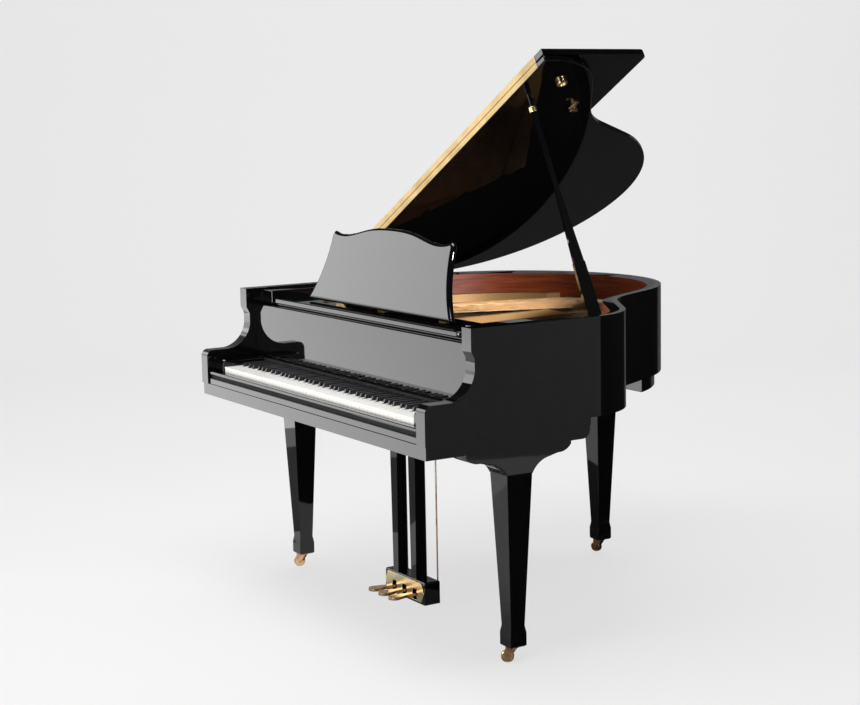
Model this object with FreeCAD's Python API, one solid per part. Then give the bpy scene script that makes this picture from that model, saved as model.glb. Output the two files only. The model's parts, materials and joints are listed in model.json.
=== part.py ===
"""Baby grand piano with its lid on the prop, music desk raised and fallboard open.

Millimetres. X runs from bass to treble, Y from the keyboard to the tail, Z up from the floor.
Everything is drawn from the front of the arms and then moved so that the origin lies
on the floor under the middle of the whole piano.
"""
import FreeCAD
import Part
import math
import os

V = FreeCAD.Vector

# Case and rim
CASE_WIDTH = 1442.0
CASE_LENGTH = 1407.0
HALF = CASE_WIDTH / 2.0
LESSER_SIDE = min(CASE_WIDTH, CASE_LENGTH)
KEY_BED_BOTTOM = 640.0
KEY_BED_WALL = 38.0
KEY_BED_TOP = KEY_BED_BOTTOM + KEY_BED_WALL
RIM_STEP = 22.0
RIM_DEPTH = 289.0
RIM_BOTTOM = KEY_BED_TOP + RIM_STEP
RIM_TOP = RIM_BOTTOM + RIM_DEPTH
RIM_WALL = 40.0
LINING_WALL = 6.0
LINING_DROP = 6.0
LINING = RIM_WALL + LINING_WALL
TREBLE_STRAIGHT = 0.4016 * CASE_LENGTH
SHOULDER_RADIUS = 0.1741 * LESSER_SIDE
SHOULDER_SLOPE = 1.608
WAIST_RADIUS = 0.2132 * LESSER_SIDE
WAIST_SLOPE = 0.507
TAIL_RADIUS_TREBLE = 0.3426 * LESSER_SIDE
TAIL_RADIUS_BASS = 0.388 * LESSER_SIDE
SPINE_END = CASE_LENGTH - TAIL_RADIUS_BASS

# Arms beside the keyboard
ARM_WALL = 46.0
ARM_DROP = 198.0
ARM_FRONT_TOP = RIM_TOP - ARM_DROP
ARM_NOSE_RADIUS = 22.0
ARM_FLAT_END = 81.0
ARM_SWEEP = 82.0
ARM_SWEEP_RISE = 80.0
ARM_SWEEP_BEND = (0.71, 0.36)
ARM_THROAT = ARM_FLAT_END + ARM_SWEEP
ARM_THROAT_HEIGHT = ARM_FRONT_TOP + ARM_SWEEP_RISE
ARM_NECK = 34.0
ARM_STEP = 11.0
ARM_STEP_RISE = 21.0

# Fallboard and the stretcher behind it
FALL_SETBACK = 21.0
FALL_FRONT = ARM_THROAT + FALL_SETBACK
FALL_WALL = 20.0
FALL_SIDE_GAP = 1.5
FALL_PIVOT = 0.6
FALL_ROUNDING = 0.9
FALL_PIN_RADIUS = 4.0
FALL_PIN_LENGTH = 8.0
STRETCHER_GAP = 8.0
STRETCHER_FRONT = FALL_FRONT + FALL_WALL + STRETCHER_GAP
STRETCHER_WALL = 24.0
STRETCHER_HEIGHT = 74.7
STRETCHER_HELD = 20.0
ARM_LENGTH = STRETCHER_FRONT + STRETCHER_HELD
RUNNING_FIT = 0.05
FRAME_GAP = 0.3

# Iron plate's place along the case
PLATE_FRONT = 300.0
PLATE_FIELD = 478.0
AGRAFFE_Y = PLATE_FIELD - 8.0
PIN_BLOCK_BACK = AGRAFFE_Y - 8.0
STRIKE_Y = PLATE_FIELD + 14.0
DAMPER_Y = PLATE_FIELD + 34.0
BELLY_RAIL_FRONT = PLATE_FIELD + 52.0
BELLY_RAIL_WALL = 35.0

# Key bed, slip and blocks
KEY_BED_CORNER = 26.0
KEY_BED_DEPTH = BELLY_RAIL_FRONT + KEY_BED_CORNER
KEY_BED_INSET = 4.0
SLIP_INSET = 1.0
SLIP_FRONT = KEY_BED_INSET + SLIP_INSET
SLIP_WALL = 21.0
SLIP_HEIGHT = 44.0
SLIP_TOP = KEY_BED_TOP + SLIP_HEIGHT
SLIP_GROOVE = 11.5
SLIP_GROOVE_DEPTH = 8.0
SLIP_BEAD = 13.0
SLIP_BEAD_ROUND = 0.25 * SLIP_BEAD
KEY_BLOCK_FRONT = 30.0
KEY_BLOCK_WIDTH = 62.0
KEY_BLOCK_RISE = 17.0
KEY_BLOCK_EDGE = 6.0
KEY_BLOCK_GAP = 2.0

# Keyboard
NATURAL_COUNT = 52
BASS_KEY_COUNT = 16
MIDDLE_KEY_COUNT = 21
END_GAP = 4.6
NATURAL_PITCH = (CASE_WIDTH - 2 * (ARM_WALL + KEY_BLOCK_WIDTH + END_GAP)) / NATURAL_COUNT
KEYBOARD_HALF = NATURAL_COUNT * NATURAL_PITCH / 2
KEY_GAP = 1.0
KEY_SETBACK = 6.0
KEY_FRONT = SLIP_FRONT + SLIP_WALL + KEY_SETBACK
KEY_RISE = 62.0
KEY_TOP = KEY_BED_TOP + KEY_RISE
KEY_BLOCK_TOP = KEY_TOP + KEY_BLOCK_RISE
NATURAL_HEAD = 50.0
NATURAL_PLATE = 24.0
KEY_REACH = 150.0
SHARP_WIDTH = 10.0
SHARP_RISE = 12.0
SHARP_SLOPE = 9.0
SHARP_GAP = 2.2
SHARP_LEAN = {"C": -0.11, "D": 0.11, "F": -0.154, "G": 0.0, "A": 0.154}
STICK_WIDTH = 7.0
STICK_HEIGHT = 24.0
STICK_BACK = 430.0
STICK_RISE = 30.0
STICK_BOTTOM = KEY_BED_TOP + STICK_RISE
BALANCE_Y = 256.0
BALANCE_WIDTH = 12.0
REGISTER_STARTS = (0, BASS_KEY_COUNT, BASS_KEY_COUNT + MIDDLE_KEY_COUNT, NATURAL_COUNT)
REGISTER_NAMES = ("bass", "middle", "treble")

# Key frame and hammers
RAIL_HEIGHT = 12.0
RAIL_WIDTH = 26.0
TIE_SHARES = (-0.96, -0.5, 0, 0.5, 0.96)
ACTION_POST = 12.0
HAMMER_RAIL_Y = 356.0
HAMMER_RAIL_RISE = 56.0
HAMMER_RAIL_TOP = KEY_TOP + HAMMER_RAIL_RISE
HAMMER_RAIL_WALL = 18.0
HAMMER_COUNT = 88
HAMMER_WIDTH = 8.0
HAMMER_BUTT = 4.0
HAMMER_SHANK = 6.0
HAMMER_HEAD_DEPTH = 22.0
HAMMER_HEAD_HEIGHT = 50.0

# Wooden frame and soundboard
INNER_RIM_WALL = 50.0
INNER_RIM = RIM_WALL + INNER_RIM_WALL
SOUNDBOARD_DROP = 139.0
SOUNDBOARD_BOTTOM = RIM_TOP - SOUNDBOARD_DROP
SOUNDBOARD_WALL = 8.0
SOUNDBOARD_TOP = SOUNDBOARD_BOTTOM + SOUNDBOARD_WALL
RIB_COUNT = 6
RIB_WIDTH = 22.0
RIB_HEIGHT = 12.0
RIB_START = 60.0
RIB_SPACING = 120.0
RIB_RUN = 240.0
BEAM_WIDTH = 60.0
BEAM_HEIGHT = 90.0
BEAM_LIFT = 12.0
BEAM_BOTTOM = RIM_BOTTOM + BEAM_LIFT
BEAM_SHARES = ((-0.58, -0.53), (0.0, -0.264), (0.6, 0.166))
TAIL_BLOCK_INSET = 22.0
TAIL_BLOCK_DROP = 50.0
TAIL_BLOCK_DEPTH = 277.0
TAIL_BLOCK_FRONT = CASE_LENGTH - TAIL_BLOCK_DEPTH

# Iron plate, pin block and strings
PLATE_LIFT = 18.0
PLATE_BOTTOM = SOUNDBOARD_TOP + PLATE_LIFT
PLATE_WALL = 12.0
PLATE_TOP = PLATE_BOTTOM + PLATE_WALL
PLATE_RIM = 70.0
PLATE_TAIL_DEPTH = 302.0
PLATE_TAIL = CASE_LENGTH - PLATE_TAIL_DEPTH
PLATE_SKIRT = 12.0
PLATE_BORDER = 48.0
PLATE_BORDER_HEIGHT = 27.0
PLATE_BORDER_END = 0.60 * HALF
HITCH_Y = PLATE_TAIL + 20.0
STRUT_WIDTH = 20.0
STRUT_HEIGHT = 25.0
STRUT_TAPER = 90.0
STRUT_TAPER_END = PLATE_TAIL - 55.0
STRUT_TOE = 3.0
STRUT_AT = (0.36, 0.70)
PIN_BLOCK_HEIGHT = 38.0
PIN_SIZE = 7.0
PIN_HEIGHT = 22.0
PIN_INSET = 40.0
PIN_ROW_COUNT = 4
PIN_ROW_SPACING = 26.0
STRING_WIDTH = 1.6
STRING_GAP = 0.3
MIDDLE_STRING_COUNT = 58
BASS_STRING_COUNT = 30
BRIDGE_WIDTH = 30.0
BRIDGE_RISE = 4.0
BRIDGE_TOP = PLATE_TOP + BRIDGE_RISE
STRING_Z = BRIDGE_TOP + STRING_GAP
BASS_BRIDGE_RISE = 10.0
BASS_BRIDGE_DEPTH = 212.0
BASS_BRIDGE_Y = CASE_LENGTH - BASS_BRIDGE_DEPTH
BRIDGE_GAP = 5.0
BRIDGE_STEP_COUNT = 18
FAN_INSET = 140.0
FAN_TREBLE = HALF - FAN_INSET
FAN_TENOR = -0.3745 * HALF
TREBLE_FAN_ANGLE = 101.0
TENOR_FAN_ANGLE = 92.0
BASS_FIRST = FAN_TENOR - 60.0
BASS_LAST = FAN_INSET - HALF
BASS_FIRST_ANGLE = 70.0
BASS_LAST_ANGLE = 76.0
AGRAFFE_WIDTH = 6.0
DAMPER_LENGTH = 30.0
DAMPER_WIDTH = 7.0
DAMPER_HEIGHT = 18.0
UNDAMPED_SHARE = 0.25

# Shelf ends, tray and music desk
SHELF_DROP = 44.3
SHELF_TOP = RIM_TOP - SHELF_DROP
SHELF_WALL = 20.0
SHELF_WIDTH = 130.0
SHELF_INNER = HALF - LINING - SHELF_WIDTH
SHELF_BACK = 500.0
SHELF_TAPER = (100.0, 60.0)
CHEEK_WIDTH = 75.0
CHEEK_DROP = 5.0
CHEEK_SLOPE = 90.0
TRAY_INSET = 146.0
TRAY_HALF = HALF - TRAY_INSET
TRAY_NOSE = 6.0
TRAY_FRONT = STRETCHER_FRONT - TRAY_NOSE
TRAY_DEPTH = 166.0
TRAY_BACK = TRAY_FRONT + TRAY_DEPTH
TRAY_WALL = 16.0
TRAY_CORNER = 14.0
TRAY_TOP = SHELF_TOP + FRAME_GAP + TRAY_WALL
DESK_SETBACK = 59.0
DESK_FOOT_Y = TRAY_FRONT + DESK_SETBACK
DESK_FOOT_GAP = 9.0
DESK_WALL = 22.0
DESK_LEAN_ANGLE = 15.4
DESK_FOOT_HALF = TRAY_HALF - 133.0
DESK_WAIST_HALF = DESK_FOOT_HALF - 54.0
DESK_WAIST_SHARE = 0.42
DESK_EAR_HALF = DESK_FOOT_HALF - 76.0
DESK_HEIGHT = 233.0
DESK_EAR_CUT = (8.0, 16.0)
DESK_CROWN = DESK_HEIGHT + 24.0
DESK_DIP = DESK_HEIGHT - 8.0
DESK_DIP_SHARE = 0.74
DESK_SWELL_SHARE = 0.42
DESK_SWELL = 5.0
DESK_HINGE_RADIUS = 1.5
DESK_HINGE_GAP = 0.5
DESK_HINGE_WIDTH = 34.0
DESK_HINGE_LEAF = 18.0
DESK_HINGE_SPACING = DESK_FOOT_HALF - 84.0

# Fallboard heights
FALL_CLEARANCE = 20.0
FALL_BOTTOM = KEY_TOP + FALL_CLEARANCE
FALL_DROP = 6.7
FALL_TOP = SHELF_TOP - FALL_DROP

# Lid and its hinges
LID_ANGLE = 29.56
LID_WALL = 18.3
LID_SEAT = 4.3
LID_OVERHANG = 15.0
LID_SETBACK = 32.0
LID_FRONT = TREBLE_STRAIGHT - LID_SETBACK
FLAP_START = 149.0
FLAP_DEPTH = LID_FRONT - FLAP_START
FLAP_CORNER = 26.0
FLAP_STANDOFF = 3.0
FLAP_LEAF_WALL = 1.2
FLAP_LEAF_EDGE = 1.0
FLAP_LEAF_SHORT = 40.0
FLAP_PIN_OFFSET = 1.5
FLAP_BARREL = 1.3
BUMPER_RADIUS = 7.0
BUTTON_RADIUS = 9.0
BUTTON_HEIGHT = 4.0
BUTTON_PAST = 265.0
BUMPER_SHARES = (-0.5, 0.5)
LID_HINGE_SHARES = (0.204, 0.814)
LID_HINGE_LENGTH = 60.0
LID_HINGE_LEAF = 30.0
LID_HINGE_WALL = 2.0
LID_HINGE_RADIUS = 3.5
LID_HINGE_PIN = 1.6
LID_HINGE_OUT = 6.0

# Lid prop and the fittings under the lid
PROP_FOOT_INSET = 101.0
PROP_FOOT_PAST = 88.0
PROP_FOOT_DROP = 29.0
PROP_FOOT = V(HALF - PROP_FOOT_INSET, TREBLE_STRAIGHT + PROP_FOOT_PAST, RIM_TOP - PROP_FOOT_DROP)
PROP_LID_INSET = 116.3
PROP_LID_U = CASE_WIDTH - PROP_LID_INSET
PROP_LID_SETBACK = 11.3
PROP_LID_Y = LID_FRONT + PROP_LID_SETBACK
PROP_REST = 32.0
PROP_FOLD_ANGLE = 154.5
PROP_FOOT_WIDTH = 36.0
PROP_TIP_WIDTH = 18.0
PROP_WALL = 40.0
PROP_SHOULDER_WALL = 34.0
PROP_NECK_WALL = 30.0
PROP_TIP_WALL = 16.0
PROP_SHOULDER_SHARE = 0.28
PROP_TIP_RADIUS = 5.0
PROP_TIP_LENGTH = 52.0
PROP_COLLAR_RADIUS = 12.0
PROP_COLLAR_LENGTH = 16.0
PROP_GAP = 0.3
PROP_PIN_RADIUS = 4.0
PROP_REST_SIZE = 16.0
BRACKET_WALL = 8.0
BRACKET_DROP = 36.0
LID_CUP_INSET = 100.5
LID_CUP_PAST = 130.4
LID_CUP_RADIUS = 17.0
LID_CUP_MOUTH = 0.7
LID_CUP_FLOOR = 0.45
LID_HOOK_INSET = 242.1
LID_HOOK_PAST = 265.3
LID_HOOK_WIDTH = 40.0
FITTING_HEIGHT = 11.0

# Legs and casters
CASTER_RADIUS = 19.0
CASTER_ROOM = 11.0
CASTER_WIDTH = 17.0
CASTER_TRAIL = 17.0
CASTER_STEM = 5.0
CASTER_STEM_LENGTH = 28.0
CASTER_AXLE = 3.0
CASTER_PLATE = 4.0
CASTER_PLATE_RADIUS = 16.0
CASTER_HORN = 0.7 * CASTER_PLATE_RADIUS
CASTER_CHEEK = 3.0
CASTER_GAP = 1.0
CASTER_ANGLES = {"bass": 215.0, "treble": 235.0, "tail": 200.0}
LEG_INSET = 73.0
LEG_SPREAD = HALF - LEG_INSET
LEG_FRONT_Y = 328.0
LEG_TAIL_SHIFT = 18.0
LEG_TAIL_X = TAIL_RADIUS_BASS - HALF - LEG_TAIL_SHIFT
LEG_TAIL_INSET = 123.0
LEG_TAIL_Y = CASE_LENGTH - LEG_TAIL_INSET
LEG_BOTTOM = 2 * CASTER_RADIUS + CASTER_ROOM
LEG_TOP_WIDTH = 86.0
LEG_ANKLE_WIDTH = 48.0
STEM_GAP = 2.0
FOOT_WIDTH = 55.4
FOOT_HEIGHT = 41.0
FOOT_TOP = LEG_BOTTOM + FOOT_HEIGHT
FOOT_BEVEL = 20.0
FOOT_CHAMFER = 4.0
CORBEL_HALF = 180.0
CORBEL_EDGE = 14.0
CORBEL_WIDTH = 90.0
CORBEL_DROP = 83.0
CORBEL_SEAT = LEG_TOP_WIDTH / 2 + 3.0
CORBEL_BELLY = (0.94, 0.30)
CORBEL_FLANK = (0.74, 0.42)
CORBEL_NECK = (0.54, 0.52)
CORBEL_THROAT = (0.36, 0.70)
CORBEL_HIP = 0.96
LEG_TOP = KEY_BED_BOTTOM - CORBEL_DROP

# Lyre and pedals
LYRE_X = 10.8
LYRE_HALF = 120.0
LYRE_FRONT = 347.5
LYRE_DEPTH = 56.0
LYRE_BOTTOM = 39.0
LYRE_HEIGHT = 73.6
LYRE_TOP = LYRE_BOTTOM + LYRE_HEIGHT
LYRE_WALL = 8.0
LYRE_EDGE = 6.0
LYRE_HEAD = 20.0
LYRE_HEAD_HALF = 96.0
PILLAR_SPREAD = 55.0
PILLAR_TOP = 44.0
PILLAR_BOTTOM = 30.0
PILLAR_DEPTH = 34.0
BRACE_RADIUS = 2.5
BRACE_SPREAD = 92.0
BRACE_GAP = 10.0
BRACE_DROP = 30.0
PEDAL_SPACING = 62.0
PEDAL_LENGTH = 98.0
PEDAL_TOE_WIDTH = 42.0
PEDAL_NECK_WIDTH = 20.0
PEDAL_WALL = 9.0
PEDAL_LIFT = 26.5
PEDAL_AXLE_Z = LYRE_BOTTOM + PEDAL_LIFT
PEDAL_AXLE = 4.0
PEDAL_AXLE_Y = LYRE_FRONT + 18.5
PEDAL_SLOT = 26.0
PEDAL_SLOT_HEIGHT = 34.0
ROD_RADIUS = 4.0
ROD_HOLE = 6.5
ROD_Y = LYRE_FRONT + 40.5
ROD_TOP = KEY_BED_TOP - 10.0
BRASS_WALL = 3.0
BRASS_POINT = 16.0
BRASS_INSET = 2.0

pieces = {}


def box(x0, x1, y0, y1, z0, z1):
    return Part.makeBox(x1 - x0, y1 - y0, z1 - z0, V(x0, y0, z0))


def rod(start, end, radius):
    along = end - start
    return Part.makeCylinder(radius, along.Length, start, along)


def fuse(first, *others):
    return first.multiFuse(list(others)).removeSplitter()


def polygon(points):
    return Part.makePolygon(list(points) + [points[0]])


def side_prism(points, x0, x1):
    """Extrude an outline given as (y, z) pairs along X."""
    face = Part.Face(polygon([V(x0, y, z) for y, z in points]))
    return face.extrude(V(x1 - x0, 0, 0))


def plan_prism(points, z0, z1):
    """Extrude an outline given as (x, y) pairs upwards."""
    face = Part.Face(polygon([V(x, y, z0) for x, y in points]))
    return face.extrude(V(0, 0, z1 - z0))


def line(a, b):
    return Part.LineSegment(a, b).toShape()


def arc(a, b, c):
    return Part.Arc(a, b, c).toShape()


def heading(degrees):
    angle = math.radians(degrees)
    return V(math.cos(angle), math.sin(angle), 0)


def left_of(direction):
    return V(-direction.y, direction.x, 0)


def turn(centre, radius, start, end, side):
    """Arc between two headings, turning left (side 1) or right (side -1)."""
    spots = [centre - left_of(heading(a)) * radius * side for a in (start, (start + end) / 2, end)]
    return arc(*spots), spots[-1]


def case_outline(offset, front, height):
    """Closed wire round the case, moved outwards by offset and cut off at the front."""
    stretch = CASE_WIDTH / CASE_LENGTH
    first = 90 + math.degrees(math.atan(SHOULDER_SLOPE * stretch))
    second = 90 + math.degrees(math.atan(WAIST_SLOPE * stretch))
    shoulder = SHOULDER_RADIUS + offset
    waist = WAIST_RADIUS - offset
    tail_treble = TAIL_RADIUS_TREBLE + offset
    tail_bass = TAIL_RADIUS_BASS + offset
    right = HALF + offset
    treble = V(right, TREBLE_STRAIGHT, 0)
    shoulder_arc, a = turn(treble - V(shoulder, 0, 0), shoulder, 90, first, 1)
    waist_shift = (left_of(heading(second)) - left_of(heading(first))) * waist
    tail_shift = (left_of(heading(second)) - left_of(heading(180))) * tail_treble
    tail_top = V(tail_bass - right, CASE_LENGTH + offset, 0)
    span = tail_top - a - waist_shift - tail_shift
    one, two = heading(first), heading(second)
    cross = one.x * two.y - one.y * two.x
    b = a + one * ((span.x * two.y - span.y * two.x) / cross)
    waist_arc, c = turn(b - left_of(one) * waist, waist, first, second, -1)
    d = c + two * ((one.x * span.y - one.y * span.x) / cross)
    tail_arc, e = turn(d + left_of(two) * tail_treble, tail_treble, second, 180, 1)
    spine_arc, f = turn(e - V(0, tail_bass, 0), tail_bass, 180, 270, 1)
    edges = [shoulder_arc, line(a, b), waist_arc, line(c, d), tail_arc, spine_arc]
    starts = V(right, front, 0)
    ends = V(-right, front, 0)
    edges = [line(starts, treble)] + edges + [line(f, ends), line(ends, starts)]
    wire = Part.Wire(edges)
    wire.translate(V(0, 0, height))
    return wire


def case_prism(offset, front, z0, z1):
    """Solid with the case's plan outline; a front past the straight sides is cut away."""
    solid = Part.Face(case_outline(offset, 0, z0)).extrude(V(0, 0, z1 - z0))
    if front > 0:
        away = box(-CASE_WIDTH, CASE_WIDTH, -CASE_LENGTH, front, z0 - 1, z1 + 1)
        solid = solid.cut(away)
    return solid


def case_ring(outer, inner, front, z0, z1):
    return case_prism(outer, front, z0, z1).cut(case_prism(inner, front - 1, z0 - 1, z1 + 1))


def arm_cutter():
    """Everything in front of and above the arms' side profile."""
    away = -CASE_WIDTH
    high = RIM_TOP + RIM_WALL
    nose = ARM_NOSE_RADIUS
    slant = nose * (1 - math.sqrt(0.5))
    bend_out, bend_up = ARM_SWEEP_BEND
    neck = ARM_THROAT_HEIGHT + ARM_NECK
    lip = ARM_THROAT - ARM_STEP
    spots = {
        "chin": (0, ARM_FRONT_TOP - nose),
        "nose": (slant, ARM_FRONT_TOP - slant),
        "brow": (nose, ARM_FRONT_TOP),
        "flat": (ARM_FLAT_END, ARM_FRONT_TOP),
        "sweep": (ARM_FLAT_END + bend_out * ARM_SWEEP, ARM_FRONT_TOP + bend_up * ARM_SWEEP_RISE),
        "throat": (ARM_THROAT, ARM_THROAT_HEIGHT),
        "neck": (ARM_THROAT, neck),
        "step": (lip, neck + ARM_STEP_RISE),
        "top": (lip, high),
        "far_top": (away, high),
        "far_low": (away, KEY_BED_BOTTOM),
        "low": (0, KEY_BED_BOTTOM),
    }
    at = {name: V(-CASE_WIDTH, y, z) for name, (y, z) in spots.items()}
    edges = [line(at["low"], at["chin"]), arc(at["chin"], at["nose"], at["brow"])]
    edges += [line(at["brow"], at["flat"]), arc(at["flat"], at["sweep"], at["throat"])]
    chain = ["throat", "neck", "step", "top", "far_top", "far_low", "low"]
    edges += [line(at[a], at[b]) for a, b in zip(chain, chain[1:])]
    return Part.Face(Part.Wire(edges)).extrude(V(2 * CASE_WIDTH, 0, 0))


def build_rim():
    solid = case_prism(0, 0, RIM_BOTTOM, RIM_TOP)
    cheeks = box(-HALF, HALF, 0, KEY_BED_DEPTH, KEY_BED_TOP, RIM_BOTTOM)
    solid = fuse(solid, cheeks)
    cavity = case_prism(-RIM_WALL, ARM_LENGTH, KEY_BED_TOP - 1, RIM_TOP + 1)
    inside = HALF - ARM_WALL
    mouth = box(-inside, inside, -1, ARM_LENGTH, KEY_BED_TOP - 1, RIM_TOP + 1)
    solid = solid.cut(cavity).cut(mouth).cut(arm_cutter())
    reach = inside + FALL_PIN_LENGTH
    pivot = fall_pivot()
    ends = [V(side * reach, pivot.y, pivot.z) for side in (-1, 1)]
    pieces["outer_rim"] = solid.cut(rod(*ends, FALL_PIN_RADIUS + RUNNING_FIT))
    top = RIM_TOP - LINING_DROP
    pieces["rim_lining"] = case_ring(-RIM_WALL, -LINING, ARM_LENGTH, SOUNDBOARD_TOP, top)


def build_frame():
    back = BELLY_RAIL_FRONT + BELLY_RAIL_WALL
    pieces["inner_rim"] = case_ring(-RIM_WALL, -INNER_RIM, back, RIM_BOTTOM, SOUNDBOARD_BOTTOM)
    inside = HALF - RIM_WALL
    rail = box(-inside, inside, BELLY_RAIL_FRONT, back, KEY_BED_TOP, SOUNDBOARD_BOTTOM)
    beam_top = BEAM_BOTTOM + BEAM_HEIGHT
    within = case_prism(-INNER_RIM, back, BEAM_BOTTOM, beam_top)
    beams = []
    for start, end in BEAM_SHARES:
        half = BEAM_WIDTH / 2
        start, end = start * HALF, end * HALF
        outline = [(start - half, back), (start + half, back)]
        outline += [(end + half, CASE_LENGTH), (end - half, CASE_LENGTH)]
        beams.append(plan_prism(outline, BEAM_BOTTOM, beam_top).common(within))
    pieces["under_frame"] = fuse(rail, *beams)
    tail_low = RIM_BOTTOM - TAIL_BLOCK_DROP
    pieces["tail_block"] = case_prism(-TAIL_BLOCK_INSET, TAIL_BLOCK_FRONT, tail_low, RIM_BOTTOM)


def build_key_bed():
    half = HALF - KEY_BED_INSET
    slab = box(-half, half, KEY_BED_INSET, KEY_BED_DEPTH, KEY_BED_BOTTOM, KEY_BED_TOP)
    behind = [e for e in slab.Edges if e.BoundBox.YMin > KEY_BED_DEPTH - 1]
    rear = [e for e in behind if e.BoundBox.ZMax < KEY_BED_TOP - 1]
    slab = slab.makeFillet(KEY_BED_CORNER, rear)
    pieces["key_bed"] = slab.cut(rod_holes(KEY_BED_BOTTOM, KEY_BED_TOP))

    inside = HALF - ARM_WALL
    back = SLIP_FRONT + SLIP_WALL
    front, sunk = SLIP_FRONT, SLIP_FRONT + SLIP_GROOVE_DEPTH
    under = SLIP_TOP - SLIP_BEAD
    ledge = under - SLIP_GROOVE
    eased = SLIP_BEAD_ROUND
    profile = [(front, KEY_BED_TOP), (front, ledge), (sunk, ledge), (sunk, under)]
    profile += [(front + eased, under), (front, under + eased)]
    profile += [(front, SLIP_TOP - eased), (front + eased, SLIP_TOP)]
    profile += [(back, SLIP_TOP), (back, KEY_BED_TOP)]
    pieces["key_slip"] = side_prism(profile, -inside, inside)

    start = KEYBOARD_HALF + END_GAP
    edge = KEY_BLOCK_EDGE
    front, back, top = KEY_BLOCK_FRONT, FALL_FRONT - KEY_BLOCK_GAP, KEY_BLOCK_TOP
    profile = [(front, KEY_BED_TOP), (front, top - edge), (front + edge, top)]
    profile += [(back, top), (back, KEY_BED_TOP)]
    blocks = [side_prism(profile, -inside, -start), side_prism(profile, start, inside)]
    pieces["key_blocks"] = Part.makeCompound(blocks)


def natural_left(index):
    return (index - NATURAL_COUNT / 2) * NATURAL_PITCH


def letter(index):
    return "CDEFGAB"[(index + 5) % 7]


def sharp_centre(index):
    """Middle of the sharp to the right of a natural, or None where there is none."""
    if letter(index) not in SHARP_LEAN or index == NATURAL_COUNT - 1:
        return None
    return natural_left(index + 1) + SHARP_LEAN[letter(index)] * NATURAL_PITCH


def natural_key(index):
    left = natural_left(index) + KEY_GAP / 2
    right = natural_left(index + 1) - KEY_GAP / 2
    clear = SHARP_WIDTH / 2 + KEY_GAP
    below = sharp_centre(index - 1) if index > 0 else None
    above = sharp_centre(index)
    waist_left = left if below is None else below + clear
    waist_right = right if above is None else above - clear
    step = KEY_FRONT + NATURAL_HEAD
    back = KEY_FRONT + KEY_REACH
    outline = [(left, KEY_FRONT), (right, KEY_FRONT), (right, step), (waist_right, step)]
    outline += [(waist_right, back), (waist_left, back), (waist_left, step), (left, step)]
    tidy = [p for i, p in enumerate(outline) if p != outline[i - 1]]
    head = plan_prism(tidy, KEY_TOP - NATURAL_PLATE, KEY_TOP)
    stick = STICK_WIDTH / 2
    middle = min(max((left + right) / 2, waist_left + stick), waist_right - stick)
    return fuse(head, key_stick(middle))


def key_stick(middle):
    start = KEY_FRONT + NATURAL_HEAD + SHARP_SLOPE
    half = STICK_WIDTH / 2
    top = STICK_BOTTOM + STICK_HEIGHT
    return box(middle - half, middle + half, start, STICK_BACK, STICK_BOTTOM, top)


def sharp_key(centre):
    half = SHARP_WIDTH / 2
    front = KEY_FRONT + NATURAL_HEAD + SHARP_GAP
    back = KEY_FRONT + KEY_REACH
    low = KEY_TOP - NATURAL_PLATE / 2
    top = KEY_TOP + SHARP_RISE
    profile = [(front, low), (front, KEY_TOP), (front + SHARP_SLOPE, top), (back, top), (back, low)]
    return fuse(side_prism(profile, centre - half, centre + half), key_stick(centre))


def build_keys():
    bounds = list(zip(REGISTER_STARTS, REGISTER_STARTS[1:]))
    for name, (start, end) in zip(REGISTER_NAMES, bounds):
        naturals = [natural_key(i) for i in range(start, end)]
        centres = [sharp_centre(i) for i in range(start, end)]
        sharps = [sharp_key(c) for c in centres if c is not None]
        pieces["naturals_" + name] = Part.makeCompound(naturals)
        pieces["sharps_" + name] = Part.makeCompound(sharps)


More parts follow.
